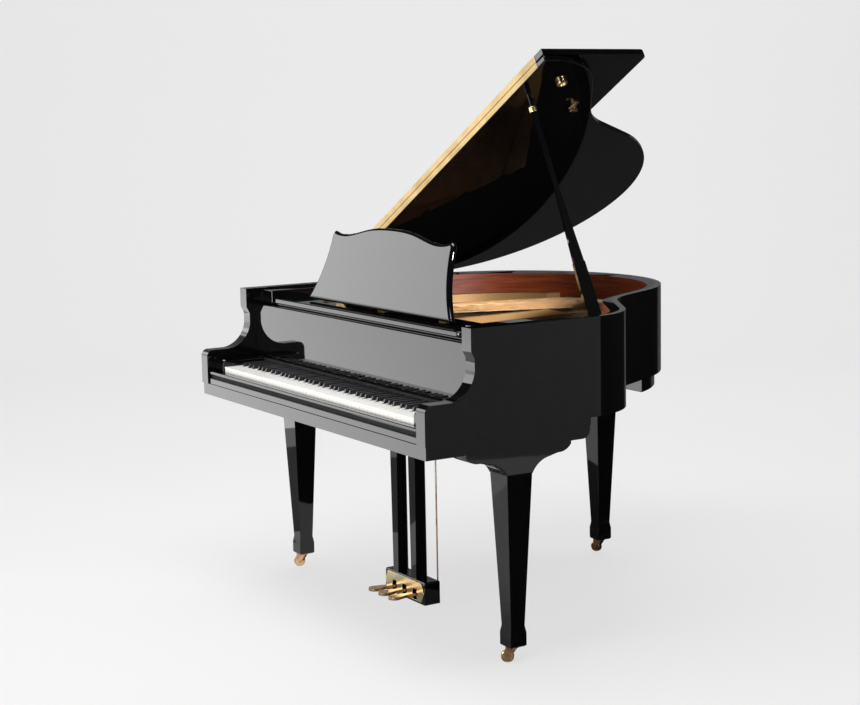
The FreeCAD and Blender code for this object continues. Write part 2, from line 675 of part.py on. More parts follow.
def build_action():
    """Key frame of three rails, their ties and the posts of the hammer rail, then the hammers."""
    base = KEY_BED_TOP + FRAME_GAP
    half = KEYBOARD_HALF
    inner = half + END_GAP
    outer = inner + ACTION_POST
    rail_top = base + RAIL_HEIGHT
    front = KEY_FRONT + RAIL_WIDTH
    back = STICK_BACK - RAIL_WIDTH
    edge = BALANCE_WIDTH / 2
    balance_top = STICK_BOTTOM - FRAME_GAP
    frame = [box(-half, half, front, front + RAIL_WIDTH, base, rail_top)]
    frame.append(box(-half, half, BALANCE_Y - edge, BALANCE_Y + edge, base, balance_top))
    frame.append(box(-outer, outer, back, STICK_BACK, base, rail_top))
    for share in TIE_SHARES:
        left = share * half - RAIL_WIDTH / 2
        for start, end in ((front + RAIL_WIDTH, BALANCE_Y - edge), (BALANCE_Y + edge, back)):
            frame.append(box(left, left + RAIL_WIDTH, start, end, base, base + RAIL_HEIGHT / 2))
    rail = HAMMER_RAIL_Y
    low = HAMMER_RAIL_TOP - HAMMER_RAIL_WALL
    for side in (-1, 1):
        profile = [(rail, low), (back, rail_top), (STICK_BACK, rail_top)]
        profile += [(rail + 3 * ACTION_POST, HAMMER_RAIL_TOP), (rail, HAMMER_RAIL_TOP)]
        frame.append(side_prism(profile, *sorted((side * inner, side * outer))))
    frame.append(box(-inner, inner, rail, rail + HAMMER_RAIL_WALL, low, HAMMER_RAIL_TOP))
    pieces["key_frame"] = Part.makeCompound(frame)

    shank = HAMMER_RAIL_TOP
    tip = shank - HAMMER_SHANK + HAMMER_HEAD_HEIGHT
    depth = HAMMER_HEAD_DEPTH / 2
    near, far = STRIKE_Y - depth, STRIKE_Y + depth
    butt = rail + HAMMER_BUTT
    profile = [(butt, shank), (near, shank), (near, shank - HAMMER_SHANK)]
    profile += [(far, shank - HAMMER_SHANK), (far, tip - depth), (STRIKE_Y, tip)]
    profile += [(near, tip - depth), (near, shank + HAMMER_SHANK), (butt, shank + HAMMER_SHANK)]
    pitch = 2 * half / HAMMER_COUNT
    hammers = []
    for i in range(HAMMER_COUNT):
        left = (i - HAMMER_COUNT / 2) * pitch + (pitch - HAMMER_WIDTH) / 2
        hammers.append(side_prism(profile, left, left + HAMMER_WIDTH))
    pieces["hammers"] = Part.makeCompound(hammers)


def inside_reach(start, way, inset, limit):
    """Where a plan line from start leaves the case outline, drawn in by inset and cut at limit."""
    floor = Part.Face(case_outline(-inset, 0, 0))
    path = line(start, start + way * CASE_LENGTH).common(floor)
    end = max((v.Point for v in path.Vertexes), key=lambda p: p.y)
    if end.y > limit:
        end = start + way * ((limit - start.y) / way.y)
    return end


def string_fan(t, inset=LINING + PLATE_RIM / 2, limit=HITCH_Y):
    """Plan line of a plain-wire string, from the treble end (0) to the tenor end (1)."""
    start = V(FAN_TREBLE + (FAN_TENOR - FAN_TREBLE) * t, AGRAFFE_Y, 0)
    way = heading(TREBLE_FAN_ANGLE + (TENOR_FAN_ANGLE - TREBLE_FAN_ANGLE) * t)
    return start, inside_reach(start, way, inset, limit)


def bass_fan(t, inset=LINING + PLATE_RIM / 2, limit=CASE_LENGTH):
    """Plan line of a wound bass string, crossing over towards the middle of the tail."""
    start = V(BASS_FIRST + (BASS_LAST - BASS_FIRST) * t, AGRAFFE_Y, 0)
    way = heading(BASS_FIRST_ANGLE + (BASS_LAST_ANGLE - BASS_FIRST_ANGLE) * t)
    return start, inside_reach(start, way, inset, limit)


def strip(start, end, width, z0, z1):
    """Straight bar between two plan points."""
    side = left_of((end - start).normalize()) * (width / 2)
    outline = [start + side, end + side, end - side, start - side]
    return plan_prism([(p.x, p.y) for p in outline], z0, z1)


def bridge(fan, limit, clear, z0, z1):
    """Curved bridge across a fan of strings, or the room round it."""
    inset = LINING + PLATE_RIM + BRIDGE_GAP + BRIDGE_WIDTH / 2
    steps = BRIDGE_STEP_COUNT
    middles = [fan(i / steps, inset, limit)[1] for i in range(steps + 1)]
    first = (middles[0] - middles[1]).normalize() * clear
    last = (middles[-1] - middles[-2]).normalize() * clear
    middles = [middles[0] + first] + middles[1:-1] + [middles[-1] + last]
    reach = BRIDGE_WIDTH / 2 + clear
    lows, highs = [], []
    for i, spot in enumerate(middles):
        along = middles[min(i + 1, steps)] - middles[max(i - 1, 0)]
        side = left_of(along.normalize()) * reach
        lows.append((spot.x + side.x, spot.y + side.y))
        highs.append((spot.x - side.x, spot.y - side.y))
    return plan_prism(lows + highs[::-1], z0, z1)


def long_bridge(clear, z0, z1):
    return bridge(string_fan, PLATE_TAIL - BRIDGE_GAP - BRIDGE_WIDTH / 2, clear, z0, z1)


def bass_bridge(clear, z0, z1):
    return bridge(bass_fan, BASS_BRIDGE_Y, clear, z0, z1)


def build_soundboard():
    """Board with its slanting ribs glued underneath, and the two bridges on it."""
    front = BELLY_RAIL_FRONT
    back = front + BELLY_RAIL_WALL
    low = SOUNDBOARD_BOTTOM - RIB_HEIGHT
    board = [case_prism(-RIM_WALL, front, SOUNDBOARD_BOTTOM, SOUNDBOARD_TOP)]
    within = case_prism(-INNER_RIM, back, low, SOUNDBOARD_BOTTOM)
    for i in range(RIB_COUNT):
        y = back + RIB_START + i * RIB_SPACING
        start, end = V(-HALF, y - RIB_RUN, 0), V(HALF, y + RIB_RUN, 0)
        board += strip(start, end, RIB_WIDTH, low, SOUNDBOARD_BOTTOM).common(within).Solids
    pieces["soundboard"] = Part.makeCompound(board)
    long = long_bridge(0, SOUNDBOARD_TOP, BRIDGE_TOP)
    bass = bass_bridge(0, SOUNDBOARD_TOP, BRIDGE_TOP + BASS_BRIDGE_RISE)
    pieces["bridges"] = Part.makeCompound([long, bass])


def build_plate():
    sheet = case_prism(-LINING, PLATE_FRONT, PLATE_BOTTOM, PLATE_TOP)
    opening = case_prism(-LINING - PLATE_RIM, PLATE_FIELD, PLATE_BOTTOM - 1, PLATE_TOP + 1)
    tail = (PLATE_TAIL, 2 * CASE_LENGTH, PLATE_BOTTOM - 2, PLATE_TOP + 2)
    opening = opening.cut(box(-CASE_WIDTH, CASE_WIDTH, *tail))
    window = bass_bridge(BRIDGE_GAP, PLATE_BOTTOM - 1, PLATE_TOP + 1)
    solid = sheet.cut(opening).cut(window)
    skirt = case_ring(-LINING, -LINING - PLATE_SKIRT, BELLY_RAIL_FRONT, SOUNDBOARD_TOP, PLATE_BOTTOM)
    border_top = PLATE_TOP + PLATE_BORDER_HEIGHT
    border = case_ring(-LINING, -LINING - PLATE_BORDER, PLATE_FIELD, PLATE_TOP - 1, border_top)
    border = border.cut(box(-PLATE_BORDER_END, CASE_WIDTH, 0, 2 * CASE_LENGTH, PLATE_BOTTOM, RIM_TOP))
    struts = []
    lead = AGRAFFE_Y - PIN_BLOCK_BACK + STRUT_WIDTH
    for t in STRUT_AT:
        start, end = string_fan(t, LINING + STRUT_WIDTH, PLATE_TAIL + STRUT_WIDTH)
        start = start - (end - start).normalize() * lead
        struts.append(strip(start, end, STRUT_WIDTH, PLATE_BOTTOM, PLATE_TOP + STRUT_HEIGHT))
    past = 1 + STRUT_WIDTH * 2 / (FAN_TREBLE - FAN_TENOR)
    start, end = string_fan(past, LINING, PLATE_TAIL + STRUT_WIDTH)
    start = start - (end - start).normalize() * lead
    struts.append(strip(start, end, STRUT_WIDTH, PLATE_BOTTOM, PLATE_TOP + BRIDGE_GAP))
    room = long_bridge(BRIDGE_GAP, PLATE_BOTTOM - 1, BRIDGE_TOP + BRIDGE_GAP)
    low, high = PLATE_TOP + STRUT_TOE, PLATE_TOP + STRUT_HEIGHT
    slope = [(STRUT_TAPER_END - STRUT_TAPER, high), (STRUT_TAPER_END, low), (2 * CASE_LENGTH, low)]
    slope += [(2 * CASE_LENGTH, RIM_TOP), (STRUT_TAPER_END - STRUT_TAPER, RIM_TOP)]
    room = fuse(room, side_prism(slope, -HALF, HALF))
    struts = [s.cut(room) for s in struts]
    pieces["plate"] = fuse(solid, skirt, border, *struts)

    half = HALF - LINING
    low = PLATE_BOTTOM - PIN_BLOCK_HEIGHT
    pieces["pin_block"] = box(-half, half, PLATE_FRONT, PIN_BLOCK_BACK, low, PLATE_BOTTOM)


def spaced(count):
    return [(i + 0.5) / count for i in range(count)]


def beside_strut(t):
    reach = (STRUT_WIDTH / 2 + DAMPER_WIDTH) / (FAN_TREBLE - FAN_TENOR)
    return any(abs(t - s) < reach for s in STRUT_AT)


def stud(x, y, width, z0, z1):
    """Upright square peg."""
    half = width / 2
    return box(x - half, x + half, y - half, y + half, z0, z1)


def build_strings():
    """Wires with the agraffe and hitch pin that hold each, tuning pins and damper heads."""
    wires, pins, dampers = [], [], []
    fans = [(string_fan, MIDDLE_STRING_COUNT, 0.0), (bass_fan, BASS_STRING_COUNT, BASS_BRIDGE_RISE)]
    for fan, count, rise in fans:
        low = STRING_Z + rise
        for i, t in enumerate(spaced(count)):
            if fan is string_fan and beside_strut(t):
                continue
            start, end = fan(t)
            wires.append(strip(start, end, STRING_WIDTH, low, low + STRING_WIDTH))
            for spot in (start, end):
                wires.append(stud(spot.x, spot.y, AGRAFFE_WIDTH, PLATE_TOP, low))
            y = PLATE_FRONT + PIN_INSET + (i % PIN_ROW_COUNT) * PIN_ROW_SPACING
            pins.append(stud(start.x, y, PIN_SIZE, PLATE_TOP, PLATE_TOP + PIN_HEIGHT))
            if fan is bass_fan or t > UNDAMPED_SHARE:
                spot = start + (end - start) * ((DAMPER_Y - AGRAFFE_Y) / (end.y - start.y))
                half = DAMPER_WIDTH / 2
                along = (DAMPER_Y, DAMPER_Y + DAMPER_LENGTH)
                felt = low + STRING_WIDTH + STRING_GAP
                dampers.append(box(spot.x - half, spot.x + half, *along, felt, felt + DAMPER_HEIGHT))
    pieces["strings"] = Part.makeCompound(wires)
    pieces["tuning_pins"] = Part.makeCompound(pins)
    pieces["dampers"] = Part.makeCompound(dampers)


def build_shelf():
    inside = HALF - RIM_WALL
    front = STRETCHER_FRONT
    low = SHELF_TOP - SHELF_WALL
    half = HALF - ARM_WALL
    behind = front + STRETCHER_WALL
    rail = box(-half, half, front, behind, low - STRETCHER_HEIGHT, low)
    between = SHELF_INNER - FRAME_GAP
    crest = box(-between, between, front, behind, low, SHELF_TOP - FRAME_GAP)
    pieces["stretcher"] = fuse(rail, crest)
    shelves = []
    face = inside - LINING_WALL
    across, along = SHELF_TAPER
    crown = RIM_TOP - CHEEK_DROP
    for side in (-1, 1):
        near, far = SHELF_INNER * side, face * side
        outline = [(near, front), (far, front), (far, SHELF_BACK)]
        outline += [(near + across * side, SHELF_BACK), (near, SHELF_BACK - along)]
        shelf = plan_prism(outline, low, SHELF_TOP)
        profile = [(front, low), (front, crown), (SHELF_BACK - CHEEK_SLOPE, crown)]
        profile += [(SHELF_BACK, SHELF_TOP), (SHELF_BACK, low)]
        shelf = fuse(shelf, side_prism(profile, *sorted((far - CHEEK_WIDTH * side, far))))
        x0, x1 = sorted((half * side, inside * side))
        shelves.append(shelf.cut(box(x0, x1, 0, ARM_LENGTH, low - 1, RIM_TOP)))
    pieces["shelf_ends"] = Part.makeCompound(shelves)

    low = SHELF_TOP + FRAME_GAP
    tray = box(-TRAY_HALF, TRAY_HALF, TRAY_FRONT, TRAY_BACK, low, TRAY_TOP)
    corners = [e for e in tray.Edges if abs(e.BoundBox.ZLength - TRAY_WALL) < 0.1]
    tray = tray.makeFillet(TRAY_CORNER, corners)
    nose = [e for e in tray.Edges if e.BoundBox.ZMin > TRAY_TOP - 0.1]
    pieces["desk_tray"] = tray.makeFillet(TRAY_WALL / 3, nose)


def desk_pivot():
    """Axis of the desk's hinges, close behind its back lower edge."""
    lean = math.radians(DESK_LEAN_ANGLE)
    back = DESK_WALL + DESK_HINGE_RADIUS + DESK_HINGE_GAP
    foot = TRAY_TOP + DESK_FOOT_GAP
    return V(0, DESK_FOOT_Y + back * math.cos(lean), foot - back * math.sin(lean))


def build_desk():
    """Desk panel drawn upright: splayed foot, drawn-in sides, ears and a crowned top."""
    def at(x, z):
        return V(x, 0, z)
    ear = DESK_EAR_HALF
    waist = (DESK_WAIST_HALF, DESK_HEIGHT * DESK_WAIST_SHARE)
    foot = DESK_FOOT_HALF
    nick, drop = DESK_EAR_CUT
    dip = (ear * DESK_DIP_SHARE, DESK_DIP)
    swell = (ear * DESK_SWELL_SHARE, (DESK_DIP + DESK_CROWN) / 2 + DESK_SWELL)
    corner, tip = (ear, DESK_HEIGHT - drop), (ear - nick, DESK_HEIGHT)
    edges = [line(at(-foot, 0), at(foot, 0))]
    edges.append(arc(at(foot, 0), at(*waist), at(*corner)))
    edges.append(line(at(*corner), at(*tip)))
    top = Part.BSplineCurve()
    half = [tip, dip, swell, (0, DESK_CROWN)]
    mirrored = [(-x, z) for x, z in half[:-1]]
    top.interpolate([at(x, z) for x, z in half + mirrored[::-1]])
    edges.append(top.toShape())
    edges.append(line(at(-tip[0], tip[1]), at(-corner[0], corner[1])))
    edges.append(arc(at(-corner[0], corner[1]), at(-waist[0], waist[1]), at(-foot, 0)))
    panel = Part.Face(Part.Wire(edges)).extrude(V(0, DESK_WALL, 0))
    panel.rotate(V(0, 0, 0), V(1, 0, 0), -DESK_LEAN_ANGLE)
    panel.translate(V(0, DESK_FOOT_Y, TRAY_TOP + DESK_FOOT_GAP))
    pieces["music_desk"] = panel

    axis = desk_pivot()
    hinges = []
    for step in (-1, 0, 1):
        x0 = step * DESK_HINGE_SPACING - DESK_HINGE_WIDTH / 2
        x1 = x0 + DESK_HINGE_WIDTH
        wall = DESK_HINGE_RADIUS
        barrel = rod(V(x0, axis.y, axis.z), V(x1, axis.y, axis.z), wall)
        near, far = axis.y - wall / 2, axis.y + wall / 2
        post = box(x0, x1, near, far, TRAY_TOP, axis.z)
        leaf = box(x0, x1, near, axis.y + DESK_HINGE_LEAF, TRAY_TOP, TRAY_TOP + wall)
        hinges.append(fuse(barrel, post, leaf))
    pieces["desk_hinges"] = Part.makeCompound(hinges)


def fall_pivot():
    inward = FALL_WALL * FALL_PIVOT
    return V(0, FALL_FRONT + inward, FALL_BOTTOM + inward)


def build_fallboard():
    half = HALF - ARM_WALL - FALL_SIDE_GAP
    front, back = FALL_FRONT, FALL_FRONT + FALL_WALL
    panel = box(-half, half, front, back, FALL_BOTTOM, FALL_TOP)
    axis = fall_pivot()
    for face, radius in ((front, axis.y - front), (back, back - axis.y)):
        lowest = [e for e in panel.Edges if e.BoundBox.ZMax < FALL_BOTTOM + 1]
        foot = [e for e in lowest if e.BoundBox.XLength > half and abs(e.BoundBox.YMin - face) < 1]
        panel = panel.makeFillet(radius * FALL_ROUNDING, foot)
    crown = [e for e in panel.Edges if e.BoundBox.XLength > half and e.BoundBox.ZMin > FALL_TOP - 1]
    panel = panel.makeFillet(FALL_WALL / 4, crown)
    reach = HALF - ARM_WALL + FALL_PIN_LENGTH - FRAME_GAP
    pins = []
    for side in (-1, 1):
        root = V(side * (half - 1), axis.y, axis.z)
        pins.append(rod(root, V(side * reach, axis.y, axis.z), FALL_PIN_RADIUS))
    pieces["fallboard"] = fuse(panel, *pins)


def lid_axis():
    return V(-HALF, 0, RIM_TOP + LID_SEAT)


def raise_lid(shape):
    """Swing a piece drawn on the closed lid up to the angle where the prop holds it."""
    shape.rotate(lid_axis(), V(0, -1, 0), LID_ANGLE)
    return shape


def lid_spot(u, y, height=0.0):
    """Place on the raised lid: distance from the spine, Y, height over its underside."""
    angle = math.radians(LID_ANGLE)
    across = V(math.cos(angle), 0, math.sin(angle))
    normal = V(-math.sin(angle), 0, math.cos(angle))
    return lid_axis() + across * u + normal * height + V(0, y, 0)


def build_lid():
    low = RIM_TOP + LID_SEAT
    top = low + LID_WALL
    spine = -HALF + FRAME_GAP
    edge = HALF + LID_OVERHANG
    panel = case_prism(LID_OVERHANG, LID_FRONT, low, top)
    panel = panel.cut(box(-CASE_WIDTH, spine, -CASE_LENGTH, 2 * CASE_LENGTH, low - 1, top + 1))
    pieces["lid"] = raise_lid(panel)

    flap_low = top + FLAP_STANDOFF
    flap = box(spine, edge, LID_FRONT, LID_FRONT + FLAP_DEPTH, flap_low, flap_low + LID_WALL)
    back = LID_FRONT + FLAP_DEPTH
    upright = [e for e in flap.Edges if abs(e.BoundBox.ZLength - LID_WALL) < 0.1]
    corners = [e for e in upright if e.BoundBox.YMin > back - 1]
    flap = flap.makeFillet(FLAP_CORNER, corners)
    feet = []
    for share in BUMPER_SHARES:
        x = share * HALF
        foot = V(x, LID_FRONT + FLAP_DEPTH / 2, top + FRAME_GAP)
        feet.append(rod(foot, V(x, foot.y, flap_low), BUMPER_RADIUS))
    outer = flap_low + LID_WALL
    for side in (-1, 1):
        button = V(side * (HALF - RIM_WALL / 2), LID_FRONT + BUTTON_PAST, outer - 1)
        feet.append(rod(button, V(button.x, button.y, outer + BUTTON_HEIGHT), BUTTON_RADIUS))
    pieces["lid_flap"] = raise_lid(fuse(flap, *feet))

    right = edge - FLAP_LEAF_SHORT
    pin_y = LID_FRONT - FLAP_PIN_OFFSET
    pin_z = top + FLAP_STANDOFF / 2
    face = LID_FRONT - FLAP_LEAF_WALL
    rim = FLAP_LEAF_EDGE
    leaf = box(spine, right, face, LID_FRONT, low + rim, pin_z - FLAP_LEAF_WALL / 2)
    barrel = rod(V(spine, pin_y, pin_z), V(right, pin_y, pin_z), FLAP_BARREL)
    pieces["flap_hinge_lid_leaf"] = raise_lid(fuse(leaf, barrel))
    start = pin_z + FLAP_BARREL + FRAME_GAP
    other = box(spine, right, face, LID_FRONT, start, flap_low + LID_WALL - rim)
    pieces["flap_hinge_flap_leaf"] = raise_lid(other)


def build_lid_hinges():
    axis_x = -HALF - LID_HINGE_OUT
    axis_z = RIM_TOP + LID_SEAT
    third = LID_HINGE_LENGTH / 3
    inner = LID_HINGE_RADIUS
    leaf_end = -HALF + LID_HINGE_LEAF
    tie_low = lid_spot(0, 0, -LID_HINGE_WALL).z
    case_side, lid_side = [], []
    for share in LID_HINGE_SHARES:
        y = LID_FRONT + share * (SPINE_END - LID_FRONT)
        reach = 1.5 * third
        near, far = y - third / 2, y + third / 2
        middle = rod(V(axis_x, near, axis_z), V(axis_x, far, axis_z), inner)
        pin = rod(V(axis_x, y - reach, axis_z), V(axis_x, y + reach, axis_z), LID_HINGE_PIN)
        leaf = box(axis_x, leaf_end, near, far, RIM_TOP, RIM_TOP + LID_HINGE_WALL)
        case_side.append(fuse(middle, pin, leaf))
        for side in (-1, 1):
            low, high = sorted((y + side * (third / 2 + FRAME_GAP), y + side * reach))
            ends = (V(axis_x, low, axis_z), V(axis_x, high, axis_z))
            plate = raise_lid(box(axis_x, leaf_end, low, high, axis_z - LID_HINGE_WALL, axis_z))
            tie = box(axis_x, -HALF + inner, low, high, tie_low, axis_z)
            knuckle = fuse(rod(*ends, inner), plate, tie)
            lid_side.append(knuckle.cut(rod(*ends, LID_HINGE_PIN + RUNNING_FIT)))
    pieces["lid_hinges_case"] = Part.makeCompound(case_side)
    pieces["lid_hinges_lid"] = Part.makeCompound(lid_side)


def prop_frame():
    """Unit direction of the prop, its pin's axis and the direction across both."""
    along = (lid_spot(PROP_LID_U, PROP_LID_Y) - PROP_FOOT).normalize()
    pin = along.cross(heading(PROP_FOLD_ANGLE)).normalize()
    return along, pin, pin.cross(along)


def on_prop(shape):
    """Move a piece drawn up the Z axis, wide along X, onto the prop's own line."""
    along, pin, wide = prop_frame()
    place = FreeCAD.Matrix(
        wide.x, pin.x, along.x, PROP_FOOT.x,
        wide.y, pin.y, along.y, PROP_FOOT.y,
        wide.z, pin.z, along.z, PROP_FOOT.z,
        0, 0, 0, 1,
    )
    return shape.transformShape(place, True)


def build_prop():
    full = (lid_spot(PROP_LID_U, PROP_LID_Y) - PROP_FOOT).Length
    length = full - PROP_REST
    stick_end = length - PROP_TIP_LENGTH
    half = PROP_WALL / 2
    shoulder = stick_end * PROP_SHOULDER_SHARE
    middle = PROP_FOOT_WIDTH + (PROP_TIP_WIDTH - PROP_FOOT_WIDTH) * PROP_SHOULDER_SHARE
    heel = oblong(0, 0, -PROP_FOOT_WIDTH / 3, PROP_FOOT_WIDTH, PROP_WALL)
    step = oblong(0, 0, shoulder, middle, PROP_SHOULDER_WALL)
    thigh = Part.makeLoft([heel, step], True, True)
    neck = oblong(0, 0, shoulder - 1, middle, PROP_NECK_WALL)
    head = oblong(0, 0, stick_end, PROP_TIP_WIDTH, PROP_TIP_WALL)
    shaft = Part.makeLoft([neck, head], True, True)
    bore = rod(V(0, -PROP_WALL, 0), V(0, PROP_WALL, 0), PROP_PIN_RADIUS + RUNNING_FIT)
    tip = rod(V(0, 0, stick_end - 1), V(0, 0, length), PROP_TIP_RADIUS)
    pieces["lid_prop"] = on_prop(fuse(thigh.cut(bore), shaft, tip))
    collar = rod(V(0, 0, stick_end), V(0, 0, stick_end + PROP_COLLAR_LENGTH), PROP_COLLAR_RADIUS)
    collar = collar.cut(rod(V(0, 0, stick_end - 1), V(0, 0, length), PROP_TIP_RADIUS))
    pieces["prop_collar"] = on_prop(collar)

    reach = PROP_REST_SIZE / 2
    rest = on_prop(box(-reach, reach, -reach, reach, length + PROP_GAP, length + 3 * PROP_REST))
    plan = (-CASE_WIDTH, 2 * CASE_WIDTH, -CASE_LENGTH, 2 * CASE_LENGTH)
    above = raise_lid(box(*plan, RIM_TOP + LID_SEAT, 4 * RIM_TOP))
    pieces["prop_rest"] = rest.cut(above)

    cheek = half + PROP_GAP
    out = cheek + BRACKET_WALL
    drop = BRACKET_DROP
    wide = PROP_FOOT_WIDTH / 2
    fork = []
    for side in (-1, 1):
        fork.append(box(-wide, wide, *sorted((side * cheek, side * out)), -drop, PROP_PIN_RADIUS * 2))
    base = box(-wide, wide, -out, out, -drop, -drop + BRACKET_WALL)
    pin = rod(V(0, -out, 0), V(0, out, 0), PROP_PIN_RADIUS)
    holder = on_prop(fuse(base, *fork, pin))
    low = holder.BoundBox.ZMin
    near, far = PROP_FOOT.y - wide, PROP_FOOT.y + wide
    arm = box(PROP_FOOT.x - wide, HALF, near, far, low, low + 2 * BRACKET_WALL)
    room = case_prism(-LINING, ARM_LENGTH, low - 1, RIM_TOP)
    pieces["prop_bracket"] = fuse(holder, arm).common(room)


def build_lid_fittings():
    low = RIM_TOP + LID_SEAT
    deep = FITTING_HEIGHT
    spot = V(HALF - LID_CUP_INSET, LID_FRONT + LID_CUP_PAST, low - deep)
    cup = Part.makeCylinder(LID_CUP_RADIUS, deep, spot)
    mouth, floor = LID_CUP_RADIUS * LID_CUP_MOUTH, LID_CUP_RADIUS * LID_CUP_FLOOR
    hollow = Part.makeCone(mouth, floor, deep * LID_CUP_MOUTH, spot)
    half = LID_HOOK_WIDTH / 2
    slim = half / 4
    x, y = HALF - LID_HOOK_INSET, LID_FRONT + LID_HOOK_PAST
    plate = box(x - half, x + half, y - half / 3, y + half / 3, low - deep / 3, low)
    post = stud(x, y, 2 * slim, low - 2 * deep, low)
    bar = box(x - slim, x + slim, y - half, y + slim, low - 2 * deep, low - 1.5 * deep)
    hook = fuse(plate, post, bar)
    pieces["lid_fittings"] = raise_lid(Part.makeCompound([cup.cut(hollow), hook]))


def oblong(x, y, z, width, depth):
    """Level rectangle round a point."""
    half, deep = width / 2, depth / 2
    corners = [(-half, -deep), (half, -deep), (half, deep), (-half, deep)]
    return polygon([V(x + dx, y + dy, z) for dx, dy in corners])


def leg_width(z):
    ankle = FOOT_TOP + FOOT_BEVEL
    return LEG_ANKLE_WIDTH + (LEG_TOP_WIDTH - LEG_ANKLE_WIDTH) * (z - ankle) / (LEG_TOP - ankle)


def leg(x, y, top):
    ankle = FOOT_TOP + FOOT_BEVEL
    levels = [(LEG_BOTTOM, FOOT_WIDTH - 2 * FOOT_CHAMFER), (LEG_BOTTOM + FOOT_CHAMFER, FOOT_WIDTH)]
    levels += [(FOOT_TOP, FOOT_WIDTH), (ankle, LEG_ANKLE_WIDTH), (top, leg_width(top))]
    solid = Part.makeLoft([oblong(x, y, z, width, width) for z, width in levels], True, True)
    depth = CASTER_STEM_LENGTH + STEM_GAP
    socket = rod(V(x, y, LEG_BOTTOM - 1), V(x, y, LEG_BOTTOM + depth), CASTER_STEM + RUNNING_FIT)
    return solid.cut(socket)


def leg_places():
    return {
        "bass": (-LEG_SPREAD, LEG_FRONT_Y, LEG_TOP),
        "treble": (LEG_SPREAD, LEG_FRONT_Y, LEG_TOP),
        "tail": (LEG_TAIL_X, LEG_TAIL_Y, RIM_BOTTOM - TAIL_BLOCK_DROP),
    }


def corbel(x):
    """Ogee bracket between a front leg and the key bed, drawn from the side."""
    left = x - CORBEL_WIDTH / 2
    seat = CORBEL_SEAT

    def at(side, reach, z):
        return V(left, LEG_FRONT_Y + side * reach, z)

    def share(side, spot):
        return at(side, CORBEL_HALF * spot[0], KEY_BED_BOTTOM - CORBEL_DROP * spot[1])
    edges = [line(at(-1, CORBEL_HALF, KEY_BED_BOTTOM), at(1, CORBEL_HALF, KEY_BED_BOTTOM))]
    edges.append(line(at(1, seat, LEG_TOP), at(-1, seat, LEG_TOP)))
    for side in (1, -1):
        top = at(side, CORBEL_HALF, KEY_BED_BOTTOM)
        edge = at(side, CORBEL_HALF, KEY_BED_BOTTOM - CORBEL_EDGE)
        flank, neck = share(side, CORBEL_FLANK), share(side, CORBEL_NECK)
        hip = at(side, seat, KEY_BED_BOTTOM - CORBEL_DROP * CORBEL_HIP)
        edges += [line(top, edge), arc(edge, share(side, CORBEL_BELLY), flank), line(flank, neck)]
        edges += [arc(neck, share(side, CORBEL_THROAT), hip), line(hip, at(side, seat, LEG_TOP))]
    return Part.Face(Part.Wire(Part.__sortEdges__(edges))).extrude(V(CORBEL_WIDTH, 0, 0))


def caster(name, x, y):
    way = heading(CASTER_ANGLES[name])
    axle = V(x, y, CASTER_RADIUS) + way * CASTER_TRAIL
    side = left_of(way)
    wheel_half = CASTER_WIDTH / 2
    outer = wheel_half + CASTER_GAP + CASTER_CHEEK
    wheel = rod(axle - side * wheel_half, axle + side * wheel_half, CASTER_RADIUS)
    rims = [e for e in wheel.Edges if abs(e.Length - 2 * math.pi * CASTER_RADIUS) < 0.1]
    wheel = wheel.makeFillet(CASTER_WIDTH / 5, rims)
    wheel = wheel.cut(rod(axle - side * outer, axle + side * outer, CASTER_AXLE + RUNNING_FIT))
    pieces["caster_wheel_" + name] = wheel

    low = LEG_BOTTOM - FRAME_GAP - CASTER_PLATE
    plate = Part.makeCylinder(CASTER_PLATE_RADIUS, CASTER_PLATE, V(x, y, low))
    stem = Part.makeCylinder(CASTER_STEM, CASTER_PLATE + CASTER_STEM_LENGTH, V(x, y, low))
    solids = [stem, rod(axle - side * outer, axle + side * outer, CASTER_AXLE)]
    hub = CASTER_AXLE * 2
    root = V(x, y, low)
    top = V(x, y, low + CASTER_PLATE)
    down = V(0, 0, hub)
    for hand in (-1, 1):
        inner = side * hand * (wheel_half + CASTER_GAP)
        outline = [top - way * CASTER_HORN, top + way * (CASTER_TRAIL + hub)]
        outline += [axle + way * hub - down, axle - way * hub - down, root - way * CASTER_HORN]
        cheek = Part.Face(polygon([p + inner for p in outline]))
        solids.append(cheek.extrude(side * hand * CASTER_CHEEK))
    crown = box(-CASTER_HORN, CASTER_TRAIL + hub, -outer, outer, low + 1, low + CASTER_PLATE)
    crown.rotate(V(0, 0, 0), V(0, 0, 1), CASTER_ANGLES[name])
    crown.translate(V(x, y, 0))
    pieces["caster_fork_" + name] = fuse(plate, crown, *solids)


def build_legs():
    for name, (x, y, top) in leg_places().items():
        pieces["leg_" + name] = leg(x, y, top)
        caster(name, x, y)
    pieces["leg_blocks"] = Part.makeCompound([corbel(-LEG_SPREAD), corbel(LEG_SPREAD)])


def pedal_places():
    return [LYRE_X + step * PEDAL_SPACING for step in (-1, 0, 1)]


def rod_holes(z0, z1):
    """Clearance round the three pedal rods."""
    holes = [rod(V(x, ROD_Y, z0 - 1), V(x, ROD_Y, z1 + 1), ROD_HOLE) for x in pedal_places()]
    return Part.makeCompound(holes)


